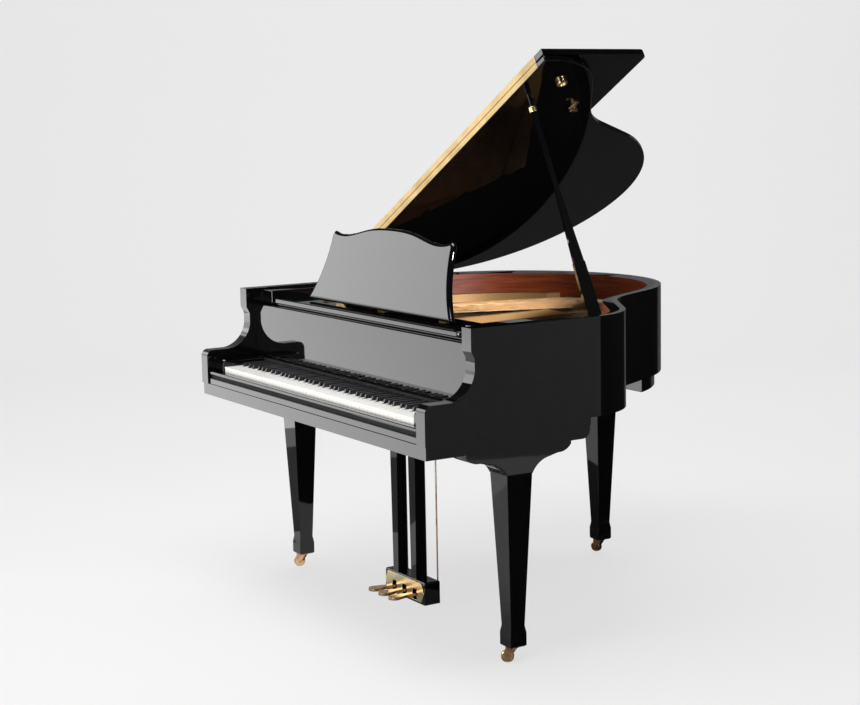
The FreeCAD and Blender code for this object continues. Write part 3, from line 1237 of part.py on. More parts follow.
def build_lyre():
    left, right = LYRE_X - LYRE_HALF, LYRE_X + LYRE_HALF
    back = LYRE_FRONT + LYRE_DEPTH
    wall = LYRE_WALL
    shell = box(left, right, LYRE_FRONT, back, LYRE_BOTTOM, LYRE_TOP)
    rims = [e for e in shell.Edges if e.BoundBox.ZMin > LYRE_TOP - 1]
    shell = shell.makeFillet(LYRE_EDGE, rims)
    deep = (LYRE_FRONT + wall, back - wall, LYRE_BOTTOM + wall, LYRE_TOP - wall)
    shell = shell.cut(box(left + wall, right - wall, *deep))
    shell = shell.cut(rod_holes(LYRE_TOP - wall, LYRE_TOP))
    half, tall = PEDAL_SLOT / 2, PEDAL_SLOT_HEIGHT / 2
    through = (LYRE_FRONT - 2 * BRASS_WALL, LYRE_FRONT + wall + 1)
    rise = (PEDAL_AXLE_Z - tall, PEDAL_AXLE_Z + tall)
    slots = Part.makeCompound([box(x - half, x + half, *through, *rise) for x in pedal_places()])
    ends = [V(x, PEDAL_AXLE_Y, PEDAL_AXLE_Z) for x in (left + wall - 1, right - wall + 1)]
    pieces["pedal_box"] = fuse(shell.cut(slots), rod(*ends, PEDAL_AXLE))

    x0, x1 = left + BRASS_INSET, right - BRASS_INSET
    low, high = LYRE_BOTTOM + LYRE_EDGE, LYRE_TOP - LYRE_EDGE
    middle = (low + high) / 2
    outline = [(x0, middle), (x0 + BRASS_POINT, low), (x1 - BRASS_POINT, low)]
    outline += [(x1, middle), (x1 - BRASS_POINT, high), (x0 + BRASS_POINT, high)]
    face = Part.Face(polygon([V(x, LYRE_FRONT - BRASS_WALL, z) for x, z in outline]))
    pieces["pedal_plate"] = face.extrude(V(0, BRASS_WALL, 0)).cut(slots)

    head_low = KEY_BED_BOTTOM - LYRE_HEAD
    x0, x1 = LYRE_X - LYRE_HEAD_HALF, LYRE_X + LYRE_HEAD_HALF
    head = box(x0, x1, LYRE_FRONT, back, head_low, KEY_BED_BOTTOM)
    head = head.cut(rod_holes(head_low, KEY_BED_BOTTOM))
    pillars = []
    for side in (-1, 1):
        x, y = LYRE_X + side * PILLAR_SPREAD, LYRE_FRONT + PILLAR_DEPTH / 2
        foot = oblong(x, y, LYRE_TOP, PILLAR_BOTTOM, PILLAR_DEPTH)
        top = oblong(x, y, head_low, PILLAR_TOP, PILLAR_DEPTH)
        pillars.append(Part.makeLoft([foot, top], True, True))
    pieces["lyre_frame"] = fuse(head, *pillars)

    braces = []
    for side in (-1, 1):
        x = LYRE_X + side * BRACE_SPREAD
        foot = V(x, back + BRACE_GAP, LYRE_TOP - BRACE_DROP)
        upright = rod(foot, V(x, foot.y, KEY_BED_BOTTOM), BRACE_RADIUS)
        elbow = Part.makeSphere(BRACE_RADIUS, foot)
        braces.append(fuse(upright, rod(V(x, back, foot.z), foot, BRACE_RADIUS), elbow))
    pieces["lyre_braces"] = Part.makeCompound(braces)


def build_pedals():
    """Levers with a rounded toe and a hub on the axle, and the rod that each one lifts."""
    low, high = PEDAL_AXLE_Z - PEDAL_WALL / 2, PEDAL_AXLE_Z + PEDAL_WALL / 2
    wide, neck = PEDAL_TOE_WIDTH / 2, PEDAL_NECK_WIDTH / 2
    toe = PEDAL_AXLE_Y - PEDAL_LENGTH - PEDAL_AXLE * 4
    ball = toe + wide
    waist = ball + 2 * wide
    heel = ROD_Y + ROD_RADIUS
    for name, x in zip(("left", "middle", "right"), pedal_places()):
        sides = [(wide, ball), (neck, waist), (neck, heel), (-neck, heel), (-neck, waist), (-wide, ball)]
        spots = [V(x + dx, y, low) for dx, y in sides]
        edges = [line(a, b) for a, b in zip(spots, spots[1:])]
        edges.append(arc(spots[-1], V(x, toe, low), spots[0]))
        lever = Part.Face(Part.Wire(edges)).extrude(V(0, 0, PEDAL_WALL))
        hub = [V(x + dx, PEDAL_AXLE_Y, PEDAL_AXLE_Z) for dx in (-neck, neck)]
        lever = fuse(lever, rod(*hub, PEDAL_AXLE * 2))
        pieces["pedal_" + name] = lever.cut(rod(*hub, PEDAL_AXLE + RUNNING_FIT))
        foot = V(x, ROD_Y, high + FRAME_GAP)
        pieces["pedal_rod_" + name] = rod(foot, V(x, ROD_Y, ROD_TOP), ROD_RADIUS)


def build():
    build_rim()
    build_frame()
    build_key_bed()
    build_keys()
    build_action()
    build_soundboard()
    build_plate()
    build_strings()
    build_shelf()
    build_desk()
    build_fallboard()
    build_lid()
    build_lid_hinges()
    build_prop()
    build_lid_fittings()
    build_legs()
    build_lyre()
    build_pedals()


def export():
    """Stand the piano over the origin and write one file per piece."""
    whole = FreeCAD.BoundBox()
    for shape in pieces.values():
        whole.add(shape.optimalBoundingBox())
    shift = V(-whole.Center.x, -whole.Center.y, -whole.ZMin)
    os.makedirs("parts", exist_ok=True)
    for name, shape in pieces.items():
        shape.translate(shift)
        shape.exportStep("parts/" + name + ".step")
        print(name, "valid" if shape.isValid() else "INVALID", len(shape.Solids), round(shape.Volume))
    print("moved by", shift.x, shift.y, shift.z)
    print("size", whole.XLength, whole.YLength, whole.ZLength)


build()
export()
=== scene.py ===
# %% [markdown]
# # Dressing a baby grand piano
# The imported model brings every solid of the piano to Blender in metres, each on the body it
# moves with. This notebook gives those solids the look of the real instrument: polished black
# lacquer with eased edges, a mahogany lining, gold iron, steel and copper strings, white and
# black keys, brass fittings.

# %% Load the frame
import json
import math

import bmesh
import bpy
from mathutils import Matrix, Vector
from mathutils.bvhtree import BVHTree

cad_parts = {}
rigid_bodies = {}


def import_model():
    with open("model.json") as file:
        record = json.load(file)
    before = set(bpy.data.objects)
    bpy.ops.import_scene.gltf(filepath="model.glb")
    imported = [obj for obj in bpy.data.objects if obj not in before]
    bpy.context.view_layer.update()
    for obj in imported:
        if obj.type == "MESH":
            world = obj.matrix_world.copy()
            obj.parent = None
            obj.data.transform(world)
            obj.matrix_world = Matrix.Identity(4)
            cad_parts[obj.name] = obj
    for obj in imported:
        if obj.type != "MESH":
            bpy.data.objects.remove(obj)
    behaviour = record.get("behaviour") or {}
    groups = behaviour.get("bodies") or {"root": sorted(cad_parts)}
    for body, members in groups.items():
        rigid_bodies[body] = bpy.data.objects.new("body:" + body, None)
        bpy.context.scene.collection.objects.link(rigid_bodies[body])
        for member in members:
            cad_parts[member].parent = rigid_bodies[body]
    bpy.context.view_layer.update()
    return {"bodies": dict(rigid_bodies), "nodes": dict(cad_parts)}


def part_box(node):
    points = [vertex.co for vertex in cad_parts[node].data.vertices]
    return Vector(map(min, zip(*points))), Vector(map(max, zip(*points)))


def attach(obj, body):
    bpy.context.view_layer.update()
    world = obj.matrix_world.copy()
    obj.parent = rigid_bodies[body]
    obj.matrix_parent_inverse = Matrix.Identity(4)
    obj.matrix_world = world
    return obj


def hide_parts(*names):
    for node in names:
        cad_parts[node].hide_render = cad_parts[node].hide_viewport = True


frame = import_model()
scene = bpy.context.scene
MM = 0.001
UP = Vector((0.0, 0.0, 1.0))

rim_low, rim_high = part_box("outer_rim")
CASE_MIDDLE = (rim_low.x + rim_high.x) / 2
ARM_FRONT = rim_low.y


def spot(x, y, z):
    """A place in millimetres from the case's middle, the arms' fronts and the floor."""
    return Vector((CASE_MIDDLE + x * MM, ARM_FRONT + y * MM, z * MM))


print("case", [round(v, 3) for v in rim_high - rim_low])

# %% [markdown]
# ## Shader helpers
# A finish is worked out with numbers that change over a surface. Their nodes could be added one
# by one, but a recipe is easier to read as a sum. So one small class holds such a number and
# turns sums in Python into Math nodes, a second one holds a node tree and adds any other node
# with a single method, and a third one is a material with the few steps that recipes share.

# %% Numbers that change over a surface


class Reading:
    """An output of a node tree; sums with it add Math nodes."""

    def __init__(self, nodes, out):
        self.nodes = nodes
        self.out = out

    def sum_up(self, operation, other):
        return self.nodes.add("ShaderNodeMath", {"operation": operation}, {0: self, 1: other})

    def __add__(self, other):
        return self.sum_up("ADD", other)

    def __mul__(self, other):
        return self.sum_up("MULTIPLY", other)

    __radd__ = __add__
    __rmul__ = __mul__


# %% A node tree
SHARE_IN, FIRST_IN, SECOND_IN, COLOUR_OUT = 0, 6, 7, 2  # the Mix node's sockets for colours


class Nodes:
    """A node tree, with one method that adds any node."""

    def __init__(self, tree):
        self.tree = tree

    def feed(self, socket, value):
        if isinstance(value, Reading):
            self.tree.links.new(value.out, socket)
        elif isinstance(value, tuple) and socket.type == "RGBA":
            socket.default_value = (*value, 1.0)
        else:
            socket.default_value = value

    def add(self, kind, settings=None, sockets=None, output=0):
        node = self.tree.nodes.new(kind)
        for name, value in (settings or {}).items():
            if name == "stops":
                ends = node.color_ramp.elements
                ends[0].position, ends[0].color = value[0][0], (*value[0][1], 1.0)
                ends[1].position, ends[1].color = value[-1][0], (*value[-1][1], 1.0)
                for where, colour in value[1:-1]:
                    ends.new(where).color = (*colour, 1.0)
            else:
                setattr(node, name, value)
        for key, value in (sockets or {}).items():
            self.feed(node.inputs[key], value)
        return Reading(self, node.outputs[output])

    def mix(self, share, first, second):
        return self.add("ShaderNodeMix", {"data_type": "RGBA"}, {
            SHARE_IN: share, FIRST_IN: first, SECOND_IN: second}, COLOUR_OUT)


# %% A finish


class Finish(Nodes):
    """A material on the Principled shader."""

    def __init__(self, name, **steady):
        self.material = bpy.data.materials.new(name)
        self.material.use_nodes = True
        super().__init__(self.material.node_tree)
        self.shader = self.tree.nodes["Principled BSDF"]
        for socket, value in steady.items():
            self.set(socket.replace("_", " "), value)
        self.place = self.add("ShaderNodeTexCoord", output="Object")

    def set(self, socket, value):
        self.feed(self.shader.inputs[socket], value)

    def stretched(self, scale, turn):
        return self.add("ShaderNodeMapping", {"vector_type": "TEXTURE"}, {
            "Vector": self.place, "Scale": scale, "Rotation": turn})

    def noise(self, scale, detail=2.0, place=None, distortion=0.0):
        return self.add("ShaderNodeTexNoise", {}, {
            "Vector": place or self.place, "Scale": scale, "Detail": detail,
            "Distortion": distortion})

    def ramp(self, reading, *stops):
        return self.add("ShaderNodeValToRGB", {"stops": stops}, {"Fac": reading})

    def bump(self, height, strength, depth):
        self.set("Normal", self.add("ShaderNodeBump", {}, {
            "Height": height, "Strength": strength, "Distance": depth}))

    def mix_in(self, share, other):
        """Mixes another shader over the Principled one."""
        both = self.add("ShaderNodeMixShader", {}, {
            0: share, 1: Reading(self, self.shader.outputs[0]), 2: other})
        self.feed(self.tree.nodes["Material Output"].inputs["Surface"], both)


# %% [markdown]
# ## The finishes
# Every recipe reads Object coordinates, which are metres here, so a noise scale of 100 has
# features about a centimetre wide. Lacquer shows only a faint haze and the long waves that
# hand polishing leaves. Wood gets its grain from noise that is drawn out along the board, which
# needs no picture of wood and runs on over every face.

# %% Lacquer and the woods
HAZE_SCALE, HAZE_DULLS, WAVE_SCALE = 5.0, 0.03, 9.0
GRAIN_STOPS, PORE_DARKENS, PORE_DULLS = (0.28, 0.5, 0.72), 0.45, 0.2
finishes = {}


def lacquer(name, colour, hazed, roughness):
    f = Finish(name)
    haze = f.noise(HAZE_SCALE, detail=4.0)
    f.set("Base Color", f.mix(haze, colour, hazed))
    f.set("Roughness", roughness + haze * HAZE_DULLS)
    f.bump(f.noise(WAVE_SCALE, detail=1.0), strength=0.03, depth=0.002)
    finishes[name] = f.material


def wood(name, shades, along, turn=(0.0, 0.0, 0.0), roughness=0.4, figure=9.0, fine=60.0):
    """The shades run from dark to pale; along says how far each axis draws the grain out."""
    f = Finish(name)
    board = f.stretched(along, turn)
    drift = f.noise(figure, detail=5.0, place=board, distortion=0.6)
    pores = f.noise(fine, detail=3.0, place=board)
    grain = f.ramp(drift, *zip(GRAIN_STOPS, shades))
    f.set("Base Color", f.mix(pores * PORE_DARKENS, grain, shades[0]))
    f.set("Roughness", roughness + pores * PORE_DULLS)
    f.bump(pores, strength=0.12, depth=0.0006)
    finishes[name] = f.material


lacquer("black_lacquer", (0.0012, 0.0012, 0.0014), (0.003, 0.003, 0.0034), 0.02)
wood("mahogany", ((0.14, 0.020, 0.005), (0.40, 0.074, 0.016), (0.58, 0.14, 0.032)),
     (14.0, 14.0, 1.0), roughness=0.36, figure=70.0, fine=420.0)
wood("case_wood", ((0.16, 0.075, 0.03), (0.30, 0.16, 0.07), (0.42, 0.25, 0.12)),
     (10.0, 1.0, 1.0))
wood("spruce", ((0.40, 0.20, 0.07), (0.54, 0.30, 0.11), (0.62, 0.38, 0.15)),
     (1.0, 14.0, 1.0), turn=(0.0, 0.0, 0.7), roughness=0.3)
wood("bridge_maple", ((0.34, 0.20, 0.09), (0.50, 0.32, 0.16), (0.60, 0.42, 0.23)),
     (1.0, 9.0, 1.0))
wood("key_spruce", ((0.50, 0.34, 0.17), (0.64, 0.47, 0.26), (0.74, 0.58, 0.36)),
     (1.0, 16.0, 1.0))
print("woods and lacquer:", sorted(finishes))

# %% [markdown]
# Metals differ in colour and in how evenly they are polished. Brass darkens in patches, steel
# carries fine drawn lines, and the plate is not bare metal but bronze powder in varnish over
# sand-cast iron, so it is only a quarter metallic and its skin is slightly grainy. The string
# steel is tinted warm, a painted reflection of the gold plate and the wood below it.
# One recipe with a few numbers serves them all.

# %% Metals
PATCH_BEGINS, PATCH_FULL, GRAIN_DULLS = 0.4, 0.75, 0.06
BLACK, WHITE = (0.0,) * 3, (1.0,) * 3


def metal(name, bright, dull, polished, worn, patch=14.0, skin=220.0, depth=0.0002, sheen=1.0):
    f = Finish(name, Metallic=sheen)
    patches = f.noise(patch, detail=4.0)
    grain = f.noise(skin, detail=3.0)
    darkened = f.ramp(patches, (PATCH_BEGINS, BLACK), (PATCH_FULL, WHITE))
    f.set("Base Color", f.mix(darkened, bright, dull))
    f.set("Roughness", polished + (worn - polished) * patches + grain * GRAIN_DULLS)
    f.bump(grain, strength=0.2, depth=depth)
    finishes[name] = f.material


metal("brass", (0.85, 0.66, 0.34), (0.60, 0.40, 0.16), 0.12, 0.34)
metal("plate_brass", (0.86, 0.73, 0.46), (0.76, 0.61, 0.34), 0.16, 0.34)
metal("pedal_brass", (0.78, 0.52, 0.25), (0.46, 0.25, 0.09), 0.06, 0.20, patch=30.0)
metal("hinge_brass", (0.45, 0.33, 0.16), (0.32, 0.22, 0.09), 0.36, 0.48)
metal("dull_brass", (0.10, 0.065, 0.026), (0.06, 0.036, 0.014), 0.36, 0.5)
metal("caster_brass", (0.78, 0.50, 0.28), (0.30, 0.14, 0.07), 0.10, 0.30, patch=40.0)
metal("blackened_steel", (0.03, 0.028, 0.026), (0.05, 0.045, 0.04), 0.35, 0.5, patch=20.0)
# The string steel's warm tint is a painted reflection of the gold plate and the wood below it.
metal("string_steel", (0.46, 0.40, 0.31), (0.34, 0.29, 0.22), 0.24, 0.4, patch=30.0)
metal("bass_copper", (0.46, 0.27, 0.13), (0.32, 0.17, 0.075), 0.30, 0.42, patch=30.0, skin=900.0)
metal("gold_iron", (0.66, 0.39, 0.16), (0.56, 0.31, 0.11), 0.34, 0.46,
      patch=6.0, skin=320.0, depth=0.0006, sheen=0.25)
print(len(finishes), "finishes with the metals")

# %% [markdown]
# The white caps are moulded plastic with a warm tint, the black ones satin. Felt is matt and
# fibrous: fine noise stands for its fibres and coarser noise for the clumps they form. The
# heads of the dampers are lacquered like the case.

# %% Key caps and felt
TINT_SCALE, TOUCH_SCALE, TOUCH_DULLS = 3.0, 60.0, 0.12
FIBRE_SCALE, CLUMP_SCALE, FIBRE_SHARE = 900.0, 120.0, 0.6
FELT_ROUGHNESS, CLUMP_DULLS = 0.85, 0.15


def moulded(name, colour, tinted, roughness):
    f = Finish(name)
    touch = f.noise(TOUCH_SCALE, detail=3.0)
    f.set("Base Color", f.mix(f.noise(TINT_SCALE), colour, tinted))
    f.set("Roughness", roughness + touch * TOUCH_DULLS)
    f.bump(touch, strength=0.04, depth=0.0004)
    finishes[name] = f.material


def felt(name, colour, shaded, nap):
    f = Finish(name, Sheen_Weight=nap)
    fibres = f.noise(FIBRE_SCALE, detail=4.0, distortion=1.5)
    clumps = f.noise(CLUMP_SCALE, detail=3.0)
    f.set("Base Color", f.mix(
        fibres * FIBRE_SHARE + clumps * (1 - FIBRE_SHARE), shaded, colour))
    f.set("Roughness", FELT_ROUGHNESS + clumps * CLUMP_DULLS)
    f.bump(fibres, strength=0.5, depth=0.0008)
    finishes[name] = f.material


moulded("natural_caps", (0.88, 0.87, 0.83), (0.84, 0.82, 0.76), 0.10)
moulded("sharp_caps", (0.012, 0.012, 0.013), (0.02, 0.02, 0.021), 0.26)
felt("hammer_felt", (0.80, 0.77, 0.68), (0.60, 0.56, 0.46), nap=0.4)
felt("black_felt", (0.010, 0.010, 0.010), (0.004, 0.004, 0.004), nap=0.0)
finishes["damper_wood"] = finishes["black_lacquer"]
print(len(finishes), "finishes in all")

# %% [markdown]
# ## Pieces from bmesh
# A new piece is modelled at its place and then given to the body that carries it. Large flat
# faces next to rounded edges shade unevenly unless the flat ones lead, so every piece keeps a
# Weighted Normal modifier. A CAD node comes as loose triangles, so a copy of it is welded and
# its flat triangles are joined before its edges can be bevelled.

# %% Finish a bmesh as a piece


def body_under(node):
    carrier = frame["nodes"][node].parent
    return next(name for name, empty in frame["bodies"].items() if empty == carrier)


def make_piece(bm, name, body, slot, looks=None, stands_for=(), crease=40.0):
    bmesh.ops.recalc_face_normals(bm, faces=bm.faces)
    mesh = bpy.data.meshes.new(name)
    bm.to_mesh(mesh)
    bm.free()
    for look in looks or [slot]:
        mesh.materials.append(finishes[look])
    mesh.shade_smooth()
    mesh.set_sharp_from_angle(angle=math.radians(crease))
    made = bpy.data.objects.new(name, mesh)
    scene.collection.objects.link(made)
    even = made.modifiers.new("even_shading", "WEIGHTED_NORMAL")
    even.keep_sharp = True
    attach(made, body)
    if stands_for:
        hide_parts(*stands_for)


# %% Merge a CAD node and ease its edges
SAME_PLACE, SAME_PLANE = 0.02 * MM, math.radians(0.4)


def welded(node):
    bm = bmesh.new()
    bm.from_mesh(frame["nodes"][node].data)
    bmesh.ops.remove_doubles(bm, verts=bm.verts, dist=SAME_PLACE)
    return bm


def merged(node):
    bm = welded(node)
    bmesh.ops.dissolve_limit(bm, angle_limit=SAME_PLANE, verts=bm.verts, edges=bm.edges)
    return bm


def soften(bm, edges, width, steps=2, clamp=True):
    bmesh.ops.bevel(bm, geom=list(edges), offset=width, offset_type="OFFSET", affect="EDGES",
                    segments=steps, profile=0.5, clamp_overlap=clamp, material=-1)


def ease(bm, width, steps=3, sharper_than=35.0):
    soften(bm, [e for e in bm.edges if e.is_manifold
                and e.calc_face_angle(0.0) > math.radians(sharper_than)], width, steps)


def eased(node, width, slot, steps=3, look=None):
    bm = merged(node)
    ease(bm, width, steps)
    faces = len(bm.faces)
    make_piece(bm, node + "_eased", body_under(node), slot, [look or slot], [node])
    return faces


# %% [markdown]
# ## The polished case
# On the real piano every lacquered edge is rubbed through slightly round, and the bright lines
# along the edges are what makes black lacquer readable. A copy of each CAD solid is merged and
# its sharp edges are bevelled; the wide ones belong to the thick boards.

# %% Case, lid and furniture
LACQUERED = {  # width of the round edge in millimetres
    "tail_block": 2.0, "key_bed": 2.0, "key_blocks": 3.0, "stretcher": 2.5, "shelf_ends": 3.0,
    "desk_tray": 3.0, "lid": 4.0, "lid_flap": 4.0, "prop_rest": 2.0, "prop_bracket": 1.5,
    "leg_bass": 2.0, "leg_treble": 2.0, "leg_tail": 2.0, "leg_blocks": 2.5, "pedal_box": 2.5,
    "lyre_frame": 2.5}
for node, width in LACQUERED.items():
    print(node, eased(node, width * MM, "black_lacquer"), "faces")

# %% [markdown]
# Along its inner edge the rim's top gives way to the veneer of the lining, so that only a
# narrow flat border is left. The rim is chamfered behind the music shelf, and the lining's
# top edge is drawn out and up until it meets the chamfer. That top is black lacquer like the
# rim, and its black also paints the shadow line along the rim's inner edge. Both shapes
# follow from the solids' own edges, so the border stays even round every bend.

# %% The rim's inner top edge
RABBET_FROM, RABBET = spot(0.0, 505.0, 0.0), 22.0 * MM
NEAR, UPRIGHT, RIM_EASE = 0.2 * MM, 0.1, 2.5 * MM
well_middle = spot(-120.0, 860.0, 935.0)


def everything(bm):
    return bm.verts[:] + bm.edges[:] + bm.faces[:]


def faces_well(face):
    """Whether an upright face looks towards the middle of the string well."""
    away = face.calc_center_median() - well_middle
    return abs(face.normal.z) < UPRIGHT and face.normal.dot(Vector((away.x, away.y, 0.0))) < 0


def on_rear_top(vert):
    return vert.co.z > rim_high.z - NEAR and vert.co.y > RABBET_FROM.y - NEAR


rim = merged("outer_rim")
bmesh.ops.bisect_plane(rim, geom=everything(rim), plane_co=RABBET_FROM, plane_no=(0, 1, 0))
rim.normal_update()
inner_top = [e for e in rim.edges if all(on_rear_top(v) for v in e.verts)
             and any(faces_well(f) for f in e.link_faces)]
soften(rim, inner_top, RABBET, 1, clamp=False)
ease(rim, RIM_EASE)
print("rim", len(rim.faces), "faces,", len(inner_top), "edges let down")
make_piece(rim, "outer_rim_eased", "case", "black_lacquer", None, ["outer_rim"])

# %% The lining's top edge
LOOKS_UP = 0.8
lining = merged("rim_lining")
lining.normal_update()
lining_top = max(v.co.z for v in lining.verts)
moves = {}
for vert in lining.verts:
    outer = [f.normal for f in vert.link_faces
             if abs(f.normal.z) < UPRIGHT and not faces_well(f)]
    if outer and vert.co.z > lining_top - NEAR and vert.co.y > RABBET_FROM.y:
        moves[vert] = sum(outer, Vector()).normalized() * (RABBET - NEAR)
        moves[vert].z = rim_high.z - lining_top - NEAR
for vert, move in moves.items():
    bmesh.ops.translate(lining, verts=[vert], vec=move)
lining.normal_update()
# The faces that look up get black lacquer, which also paints the shadow line along the rim's
# inner edge.
for face in lining.faces:
    face.material_index = 1 if face.normal.z > LOOKS_UP else 0
print("lining", len(lining.faces), "faces,", len(moves), "corners moved out")
make_piece(lining, "rim_lining_widened", "case", "mahogany",
           ["mahogany", "black_lacquer"], ["rim_lining"])

# %% [markdown]
# The slip in front of the keys has a bead above a groove that is stained dull, so the faces in
# the groove get another finish than the rest. The fallboard's top edge is a wide roll, which is
# a bevel of its front edge with more steps than the other edges need.

# %% Key slip and fallboard
GROOVE_LOW, GROOVE_HIGH, GROOVE_INSET = 24.6 * MM, 12.9 * MM, 1.0 * MM
SLIP_EASE, SLIP_STEPS, FALL_EASE, FALL_ROLL, FALL_STEPS = 3.0 * MM, 4, 2.0 * MM, 15.0 * MM, 8
slip = merged("key_slip")
slip_low, slip_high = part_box("key_slip")
ease(slip, SLIP_EASE, SLIP_STEPS)
for face in slip.faces:
    middle = face.calc_center_median()
    sunk = (slip_high.z - GROOVE_LOW < middle.z < slip_high.z - GROOVE_HIGH
            and slip_low.y + GROOVE_INSET < middle.y < slip_high.y - GROOVE_INSET)
    face.material_index = 1 if sunk else 0
print("slip", len(slip.faces), "faces")
make_piece(slip, "key_slip_eased", "case", "black_lacquer",
           ["black_lacquer", "black_felt"], ["key_slip"])

fall = merged("fallboard")
fall_low, fall_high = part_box("fallboard")
top_front = [e for e in fall.edges if all(
    v.co.z > fall_high.z - NEAR and v.co.y < fall_low.y + NEAR for v in e.verts)]
soften(fall, top_front, FALL_ROLL, FALL_STEPS)
ease(fall, FALL_EASE)
print("fallboard", len(fall.faces), "faces,", len(top_front), "edges rolled")
make_piece(fall, "fallboard_rolled", "fallboard", "black_lacquer", None, ["fallboard"])

# %% [markdown]
# The music desk is a board with a fully rounded edge. A bevel that wide would trip over itself
# in the curves of the outline. Instead its front and back faces are moved to the middle of the
# board and then inset step by step along a quarter circle, which rolls the edge round however
# the outline curves.

# %% Music desk
DESK_WALL, DESK_STEPS, DESK_CREASE = 22.0 * MM, 6, 60.0
DESK_ROLL = 0.48 * DESK_WALL


def rolled(node, radius, steps):
    bm = merged(node)
    for face in sorted(bm.faces, key=lambda f: f.calc_area())[-2:]:
        face.normal_update()
        bmesh.ops.translate(bm, verts=face.verts, vec=-face.normal * radius)
        for step in range(steps):
            before, after = (math.pi / 2 * share / steps for share in (step, step + 1))
            bmesh.ops.inset_individual(
                bm, faces=[face], thickness=radius * (math.cos(before) - math.cos(after)),
                depth=radius * (math.sin(after) - math.sin(before)), use_even_offset=True)
    return bm


desk = rolled("music_desk", DESK_ROLL, DESK_STEPS)
print("desk", len(desk.faces), "faces")
make_piece(desk, "music_desk_rolled", "desk", "black_lacquer", None, ["music_desk"], DESK_CREASE)

# %% [markdown]
# The lid prop is a stick that is thickest at its foot and slim in its upper half. A cut across
# the stick gives a ring of corners, and the ring is drawn in, so the taper runs both ways from
# it and the two ends keep the size that fits the bracket and the rest.

# %% Lid prop
PROP_WAIST, PROP_WAIST_SHARE, PROP_CORNERS = 0.58, 0.62, 4
PROP_EASE, PROP_EASE_STEPS, PROP_SHARPER_THAN = 3.0 * MM, 4, 20.0


def middle_of(points):
    return sum(points, Vector()) / len(points)


def verts_in(geom):
    return [part for part in geom if isinstance(part, bmesh.types.BMVert)]


prop = merged("lid_prop")
heights = sorted((v.co.copy() for v in prop.verts), key=lambda place: place.z)
foot, tip = middle_of(heights[:PROP_CORNERS]), middle_of(heights[-PROP_CORNERS:])
cut = bmesh.ops.bisect_plane(prop, geom=everything(prop), plane_no=tip - foot,
                             plane_co=foot.lerp(tip, PROP_WAIST_SHARE))["geom_cut"]
ring = verts_in(cut)
bmesh.ops.scale(prop, vec=(PROP_WAIST,) * 3, verts=ring,
                space=Matrix.Translation(-middle_of([v.co for v in ring])))
print("prop waist of", len(ring), "corners")
ease(prop, PROP_EASE, PROP_EASE_STEPS, PROP_SHARPER_THAN)
make_piece(prop, "lid_prop_eased", "prop", "black_lacquer", None, ["lid_prop"])

# %% [markdown]
# ## Woodwork inside and the plate
# Most of the wooden frame stays hidden, so its solids keep their shape and only get wood. The
# soundboard is spruce with a slanted grain. The iron plate and the maple bridges show under the
# raised lid, and their edges are eased as those of the case are.

# %% Hidden woodwork and the plate
BRIDGE_EASE, PLATE_EASE = 2.0 * MM, 3.0 * MM
for node in ("inner_rim", "under_frame", "key_frame", "pin_block", "soundboard"):
    look = "spruce" if node == "soundboard" else "case_wood"
    frame["nodes"][node].data.materials[0] = finishes[look]
    print(node, "gets", look)
print("bridges", eased("bridges", BRIDGE_EASE, "bridge_maple"), "faces")
print("plate", eased("plate", PLATE_EASE, "gold_iron"), "faces")

# %% [markdown]
# ## Brass
# The fittings are cast or turned brass with small round edges. Each has its own tone, because
# hinges dull where fingers don't reach and pedals are rubbed bright. The rods behind the lyre
# are blackened steel.

# %% Brass fittings
BRASS_STEPS = 2
BRASS = {  # width of the round edge in millimetres, and the look
    "prop_collar": (1.2, "brass"), "lid_fittings": (1.2, "brass"),
    "desk_hinges": (0.6, "dull_brass"),
    "flap_hinge_lid_leaf": (0.5, "hinge_brass"), "flap_hinge_flap_leaf": (0.5, "hinge_brass"),
    "lid_hinges_case": (0.6, "hinge_brass"), "lid_hinges_lid": (0.6, "hinge_brass"),
    "pedal_plate": (1.0, "plate_brass"), "lyre_braces": (0.8, "caster_brass")}
for side in ("left", "middle", "right"):
    BRASS["pedal_" + side] = (2.5, "pedal_brass")
    BRASS["pedal_rod_" + side] = (0.8, "blackened_steel")
for leg in ("bass", "treble", "tail"):
    BRASS["caster_fork_" + leg] = (0.8, "caster_brass")
    BRASS["caster_wheel_" + leg] = (1.6, "caster_brass")
for node, (width, look) in BRASS.items():
    print(node, eased(node, width * MM, "brass", BRASS_STEPS, look), "faces")

# %% [markdown]
# ## The keyboard
# A white key is a spruce stick with a cap that stands a little proud of its front. Its head is
# full width and its tail is cut back where the black keys stand, so the outline follows from
# the order of the octave. Each cap is that outline, extruded and rounded at the top; a black
# key starts as a cube whose top is drawn in and whose front is sloped.

# %% The octave's layout
NATURALS = 52
OCTAVE = "CDEFGAB"
FIRST_NOTE = 5
LEAN = {"C": -0.11, "D": 0.11, "F": -0.154, "G": 0.0, "A": 0.154}
REGISTERS = {"bass": (0, 16), "middle": (16, 37), "treble": (37, 52)}
KEY_GAP, SHARP_HALF, TAIL_GAP = 1.0 * MM, 5.0 * MM, 1.0 * MM
HEAD_LENGTH, CAP_LENGTH = 50.0 * MM, 150.0 * MM
left_end, right_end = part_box("naturals_bass")[0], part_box("naturals_treble")[1]
PITCH = (right_end.x - left_end.x + KEY_GAP) / NATURALS
KEY_FRONT, KEY_TOP = left_end.y, right_end.z
SHARP_FRONT, SHARP_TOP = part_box("sharps_bass")[0].y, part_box("sharps_bass")[1].z
CAP_BACK = KEY_FRONT + CAP_LENGTH


def key_left(index):
    return left_end.x - KEY_GAP / 2 + index * PITCH


def black_after(index):
    """Middle of the black key between this white key and the next, or None."""
    note = OCTAVE[(index + FIRST_NOTE) % len(OCTAVE)]
    if note not in LEAN or not 0 <= index < NATURALS - 1:
        return None
    return key_left(index + 1) + LEAN[note] * PITCH


